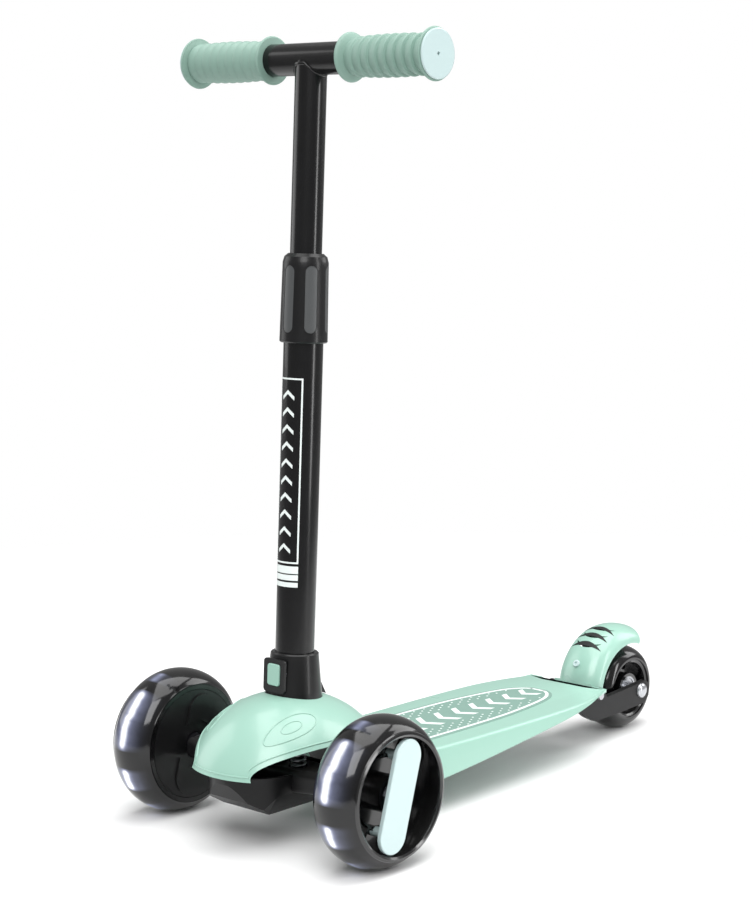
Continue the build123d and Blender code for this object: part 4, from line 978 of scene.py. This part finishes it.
class SCOOTER_OT_decal(bpy.types.Operator):
    """Prints the framed arrow motif and three stripes on the front of the lower tube"""

    bl_idname = "scooter.decal"
    bl_label = "Build Stem Print"

    def execute(self, context):
        radius = extent("lower_tube").x / 2
        half = 47.0
        shell = Shell()
        line = 1.3 * MM
        line_deg = math.degrees(line / radius)
        low, high = 221.5 * MM, 369.3 * MM
        bands = [(low, low + line), (high - line, high)]
        bands += [(s0 * MM, s1 * MM) for s0, s1 in ((213.5, 219.4), (208.0, 212.5), (202.6, 206.4))]
        for s0, s1 in bands:
            tube_plate(shell, radius, [(-half, s0), (half, s0), (half, s1), (-half, s1)], steps=20)
        for a0, a1 in ((-half, -half + line_deg), (half - line_deg, half)):
            tube_plate(shell, radius, [(a0, low), (a1, low), (a1, high), (a0, high)], steps=2)
        # upward arrowheads inside the frame
        count = 10
        pitch = (high - low - 12 * MM) / count
        wide, rise, thick = 22.0, 5.0 * MM, 3.0 * MM
        for i in range(count):
            s = low + 8 * MM + i * pitch
            for sign in (-1, 1):
                corners = [(0, s + rise), (sign * wide, s), (sign * wide, s + thick), (0, s + rise + thick)]
                tube_plate(shell, radius, corners, steps=6)
        place(new_outward(shell, "stem_print"), "stem", "black_tube", "print")
        return {"FINISHED"}


def new_outward(shell, name, smooth_angle=35.0):
    """Builds a shell of several closed plates and turns each plate's faces outward."""
    piece = shell.build(name, smooth_angle)
    reform(piece.data, lambda form: bmesh.ops.recalc_face_normals(form, faces=form.faces))
    shade(piece.data, smooth_angle)
    return piece


class SCOOTER_OT_weld(bpy.types.Operator):
    """Runs the weld bead where the upper tube meets the crossbar"""

    bl_idname = "scooter.weld"
    bl_label = "Build Bar Weld"

    def execute(self, context):
        radius = extent("upper_tube").x / 2
        bead = 1.5 * MM
        rings = []
        steps = 72
        for i in range(steps):
            angle = math.tau * i / steps
            out = Vector((math.sin(angle), 0, 0)) + STEM_BACK * math.cos(angle)
            drop = radius * abs(math.sin(angle))
            place_on = BAR_CENTRE + out * radius - STEM_DIR * max(drop, 0.35 * radius)
            ripple = 1 + 0.06 * math.sin(angle * 24)
            ring = []
            for j in range(12):
                turn = math.tau * j / 12
                ring.append(place_on + (out * math.cos(turn) + STEM_DIR * math.sin(turn)) * bead * ripple)
            rings.append(ring)
        shell = Shell()
        shell.rings(rings, looped=True)
        place(new_outward(shell, "bar_weld", 60.0), "handlebar", "black_tube", "tube")
        return {"FINISHED"}


# ---- bonnet details

DOME_FRONT, DOME_REAR = 81.0 * MM, 96.5 * MM
DOME_R = 74.5 * MM


def dome_centre():
    """Point on the dome's fore-and-aft axis at its widest section."""
    axle = middle("left_tyre")
    return Vector((0, axle.y + 11 * MM, 42.5 * MM))


def dome_radius(y):
    centre = dome_centre()
    reach = DOME_FRONT if y < centre.y else DOME_REAR
    return DOME_R * math.sqrt(max(0.0, 1 - ((y - centre.y) / reach) ** 2))


def on_dome(y, angle, lift=0.0):
    """Point of the dome's skin at y and an angle from upright, positive to the left."""
    centre = dome_centre()
    r = dome_radius(y) + lift
    return Vector((r * math.sin(angle), y, centre.z + r * math.cos(angle)))


def bead(shell, path, radius, looped, sides=8):
    """Round bead that follows a path of points."""
    rings = []
    count = len(path)
    for i, point in enumerate(path):
        ahead = path[(i + 1) % count] if looped or i < count - 1 else point
        behind = path[i - 1] if looped or i > 0 else point
        along = (ahead - behind).normalized()
        side = along.cross(Vector((0, 0, 1))).normalized()
        over = side.cross(along)
        ring = []
        for j in range(sides):
            turn = math.tau * j / sides
            ring.append(point + (side * math.cos(turn) + over * math.sin(turn)) * radius)
        rings.append(ring)
    shell.rings(rings, looped=looped)


class SCOOTER_OT_bonnet(bpy.types.Operator):
    """Raises the line along the bonnet's rim and the plain oval on each of its flanks"""

    bl_idname = "scooter.bonnet"
    bl_label = "Build Bonnet Lines"

    def execute(self, context):
        centre = dome_centre()
        axle = middle("left_tyre")
        arch_y, arch_z, arch_reach, arch_rise = axle.y + 4 * MM, 63 * MM, 62 * MM, 22 * MM
        lift = 3.6 * MM
        flank = []
        steps = 60
        nose_y = centre.y - DOME_FRONT * math.sqrt(1 - ((arch_z + lift - centre.z) / DOME_R) ** 2)
        for i in range(steps + 1):
            t = i / steps
            y = nose_y + 0.2 * MM + (arch_y + 52 * MM - nose_y) * t * t * (2 - t)
            share = max(0.0, 1 - ((y - arch_y) / arch_reach) ** 2)
            z = arch_z + arch_rise * math.sqrt(share) + lift
            r = dome_radius(y)
            x = math.sqrt(max(0.0, r * r - (z - centre.z) ** 2))
            if x > 0:
                flank.append(Vector((x, y, z)))
        path = [Vector((-p.x, p.y, p.z)) for p in reversed(flank)] + flank
        shell = Shell()
        bead(shell, path, 0.75 * MM, False)
        for sign in SIDES.values():
            yc = axle.y - 18 * MM
            tilt = math.asin(38.5 * MM / dome_radius(yc))
            for half_long, half_wide, thick in ((23.5, 10.0, 0.55), (9.0, 4.5, 0.45)):
                oval = []
                for i in range(64):
                    turn = math.tau * i / 64
                    angle = sign * (tilt + half_wide * MM / dome_radius(yc) * math.sin(turn))
                    oval.append(on_dome(yc + half_long * MM * math.cos(turn), angle))
                bead(shell, oval, thick * MM, True)
        place(new_outward(shell, "bonnet_lines", 60.0), "deck", "mint_shell", "mint")
        return {"FINISHED"}


class SCOOTER_OT_hubs(bpy.types.Operator):
    """Stands the spokes on the front hubs' webs"""

    bl_idname = "scooter.hubs"
    bl_label = "Build Hub Spokes"

    def execute(self, context):
        for side, sign in SIDES.items():
            centre = middle(f"{side}_tyre")
            x = centre.x + sign * 3.2 * MM
            count, reach = 10, 37 * MM
            spokes = []
            for i in range(count):
                angle = math.tau * (i + 0.5) / count
                where = Vector((x, centre.y + reach * math.cos(angle), centre.z + reach * math.sin(angle)))
                spokes.append((where, (angle, 0, 0)))
            web = repeated(f"{side}_hub_spokes", "hub", "bar", spokes, 15.0 * MM, 5.0 * MM, 2.2 * MM)
            place(web, f"front_wheel_{side}", "hub_black", "hub")
        return {"FINISHED"}


def on_hood(x, degrees, lift):
    """Point on the fender's crown at x and an angle above the rearward horizontal."""
    centre = middle("rear_tyre") + Vector((0, -10 * MM, 2 * MM))
    edge_r, crown, half = 45 * MM, 15 * MM, 24 * MM
    radius = edge_r + crown * math.sqrt(max(0.0, 1 - (x / half) ** 2)) + lift
    angle = math.radians(degrees)
    return centre + Vector((x, radius * math.cos(angle), radius * math.sin(angle)))


class SCOOTER_OT_crescents(bpy.types.Operator):
    """Fills the fender's three crescent slots with dark plates of painted shade"""

    bl_idname = "scooter.crescents"
    bl_label = "Build Fender Crescents"

    def execute(self, context):
        # painted shade: dark plates set into the slots where only shade is seen
        half_long, sunk, proud = 17 * MM, -0.6 * MM, 0.25 * MM
        shell = Shell()
        steps = 24
        for middle_deg in (104.0, 116.0, 128.0):
            rings = []
            for j in range(steps + 1):
                t = 2 * j / steps - 1
                bow = 1 - t * t
                lower, upper = (middle_deg + 3.8 - bow * depth for depth in (6.0, 1.0))
                section = ((lower, sunk), (upper, sunk), (upper, proud), (lower, proud))
                rings.append([on_hood(half_long * t, degrees, lift) for degrees, lift in section])
            shell.rings(rings)
        place(new_outward(shell, "fender_slot_shade"), "fender", "mint_shell", "slot")
        return {"FINISHED"}


class SCOOTER_OT_stage(bpy.types.Operator):
    """Lays the floor, hangs the lights and sets the camera"""

    bl_idname = "scooter.stage"
    bl_label = "Build Studio"

    def execute(self, context):
        scene = context.scene
        scene.view_settings.view_transform = "Standard"
        size, thick = 60.0, 0.02
        corners = ((-size, -size), (size, -size), (size, size), (-size, size))
        slab = Shell()
        slab.rings([[Vector((x, y, z)) for x, y in corners] for z in (-thick, 0)])
        floor = slab.build("studio_floor")
        floor.data.materials.append(FINISHES["floor"])
        world = bpy.data.worlds.new("Studio White")
        world.use_nodes = True
        tree = world.node_tree
        seen = tree.nodes["Background"]
        surround = tree.nodes.new("ShaderNodeBackground")
        for background, strength in ((seen, 1.0), (surround, 0.34)):
            preset(background, {"Color": (1, 1, 1, 1), "Strength": strength})
        ray = tree.nodes.new("ShaderNodeLightPath")
        choice = tree.nodes.new("ShaderNodeMixShader")
        link(tree, ray.outputs["Is Camera Ray"], choice.inputs[0])
        link(tree, surround.outputs[0], choice.inputs[1])
        link(tree, seen.outputs[0], choice.inputs[2])
        link(tree, choice.outputs[0], tree.nodes["World Output"].inputs["Surface"])
        scene.world = world
        middle_height = Vector((0, 0, 0.3))
        for name, where, width, height, power in (
            ("Key Softbox", Vector((1.0, -1.6, 1.9)), 1.3, 1.7, 42.0),
            ("Fill Softbox", Vector((-2.0, -0.9, 1.1)), 1.4, 1.8, 14.0),
            ("Overhead Softbox", Vector((0.1, 0.1, 2.3)), 2.2, 2.2, 50.0),
            ("Strip Softbox", Vector((1.9, 0.5, 0.75)), 0.35, 1.6, 14.0),
            ("Rim Softbox", Vector((0.9, 1.9, 1.5)), 1.2, 1.6, 22.0),
        ):
            lamp = bpy.data.lights.new(name, "AREA")
            lamp.shape = "RECTANGLE"
            lamp.size = width
            lamp.size_y = height
            lamp.energy = power
            holder = linked(name, lamp)
            holder.location = where
            holder.rotation_euler = (middle_height - where).to_track_quat("-Z", "Y").to_euler()
        camera = bpy.data.cameras.new("Camera")
        camera.lens = scene.scooter.lens
        camera.clip_end = 200.0
        holder = linked("Camera", camera)
        azimuth, elevation = math.radians(42.2), math.radians(7.8)
        level = math.cos(elevation)
        back = Vector((math.sin(azimuth) * level, -math.cos(azimuth) * level, math.sin(elevation)))
        holder.location = Vector((1.1964, -1.4187, 0.5396))
        holder.rotation_euler = back.to_track_quat("Z", "Y").to_euler()
        scene.camera = holder
        return {"FINISHED"}


class SCOOTER_PT_panel(bpy.types.Panel):
    """Lists the scooter's operators and sizes"""

    bl_idname = "SCOOTER_PT_panel"
    bl_label = "Kick Scooter"
    bl_space_type = "VIEW_3D"
    bl_region_type = "UI"
    bl_category = "Scooter"

    def draw(self, context):
        for operator in OPERATORS:
            self.layout.operator(operator.bl_idname)
        for name in ("grip_ribs", "rib_height", "dot_pitch", "floor_colour", "lens"):
            self.layout.prop(context.scene.scooter, name)


OPERATORS = (
    SCOOTER_OT_finishes,
    SCOOTER_OT_tyres,
    SCOOTER_OT_grips,
    SCOOTER_OT_deck,
    SCOOTER_OT_pad,
    SCOOTER_OT_decal,
    SCOOTER_OT_weld,
    SCOOTER_OT_bonnet,
    SCOOTER_OT_hubs,
    SCOOTER_OT_crescents,
    SCOOTER_OT_carry,
    SCOOTER_OT_stage,
)
CLASSES = (ScooterFinish, *OPERATORS, SCOOTER_PT_panel)


def register():
    for cls in CLASSES:
        bpy.utils.register_class(cls)
    bpy.types.Scene.scooter = PointerProperty(type=ScooterFinish)


def unregister():
    del bpy.types.Scene.scooter
    for cls in reversed(CLASSES):
        bpy.utils.unregister_class(cls)


def main():
    register()
    for operator in OPERATORS:
        group, name = operator.bl_idname.split(".")
        getattr(getattr(bpy.ops, group), name)()


if __name__ == "__main__":
    main()
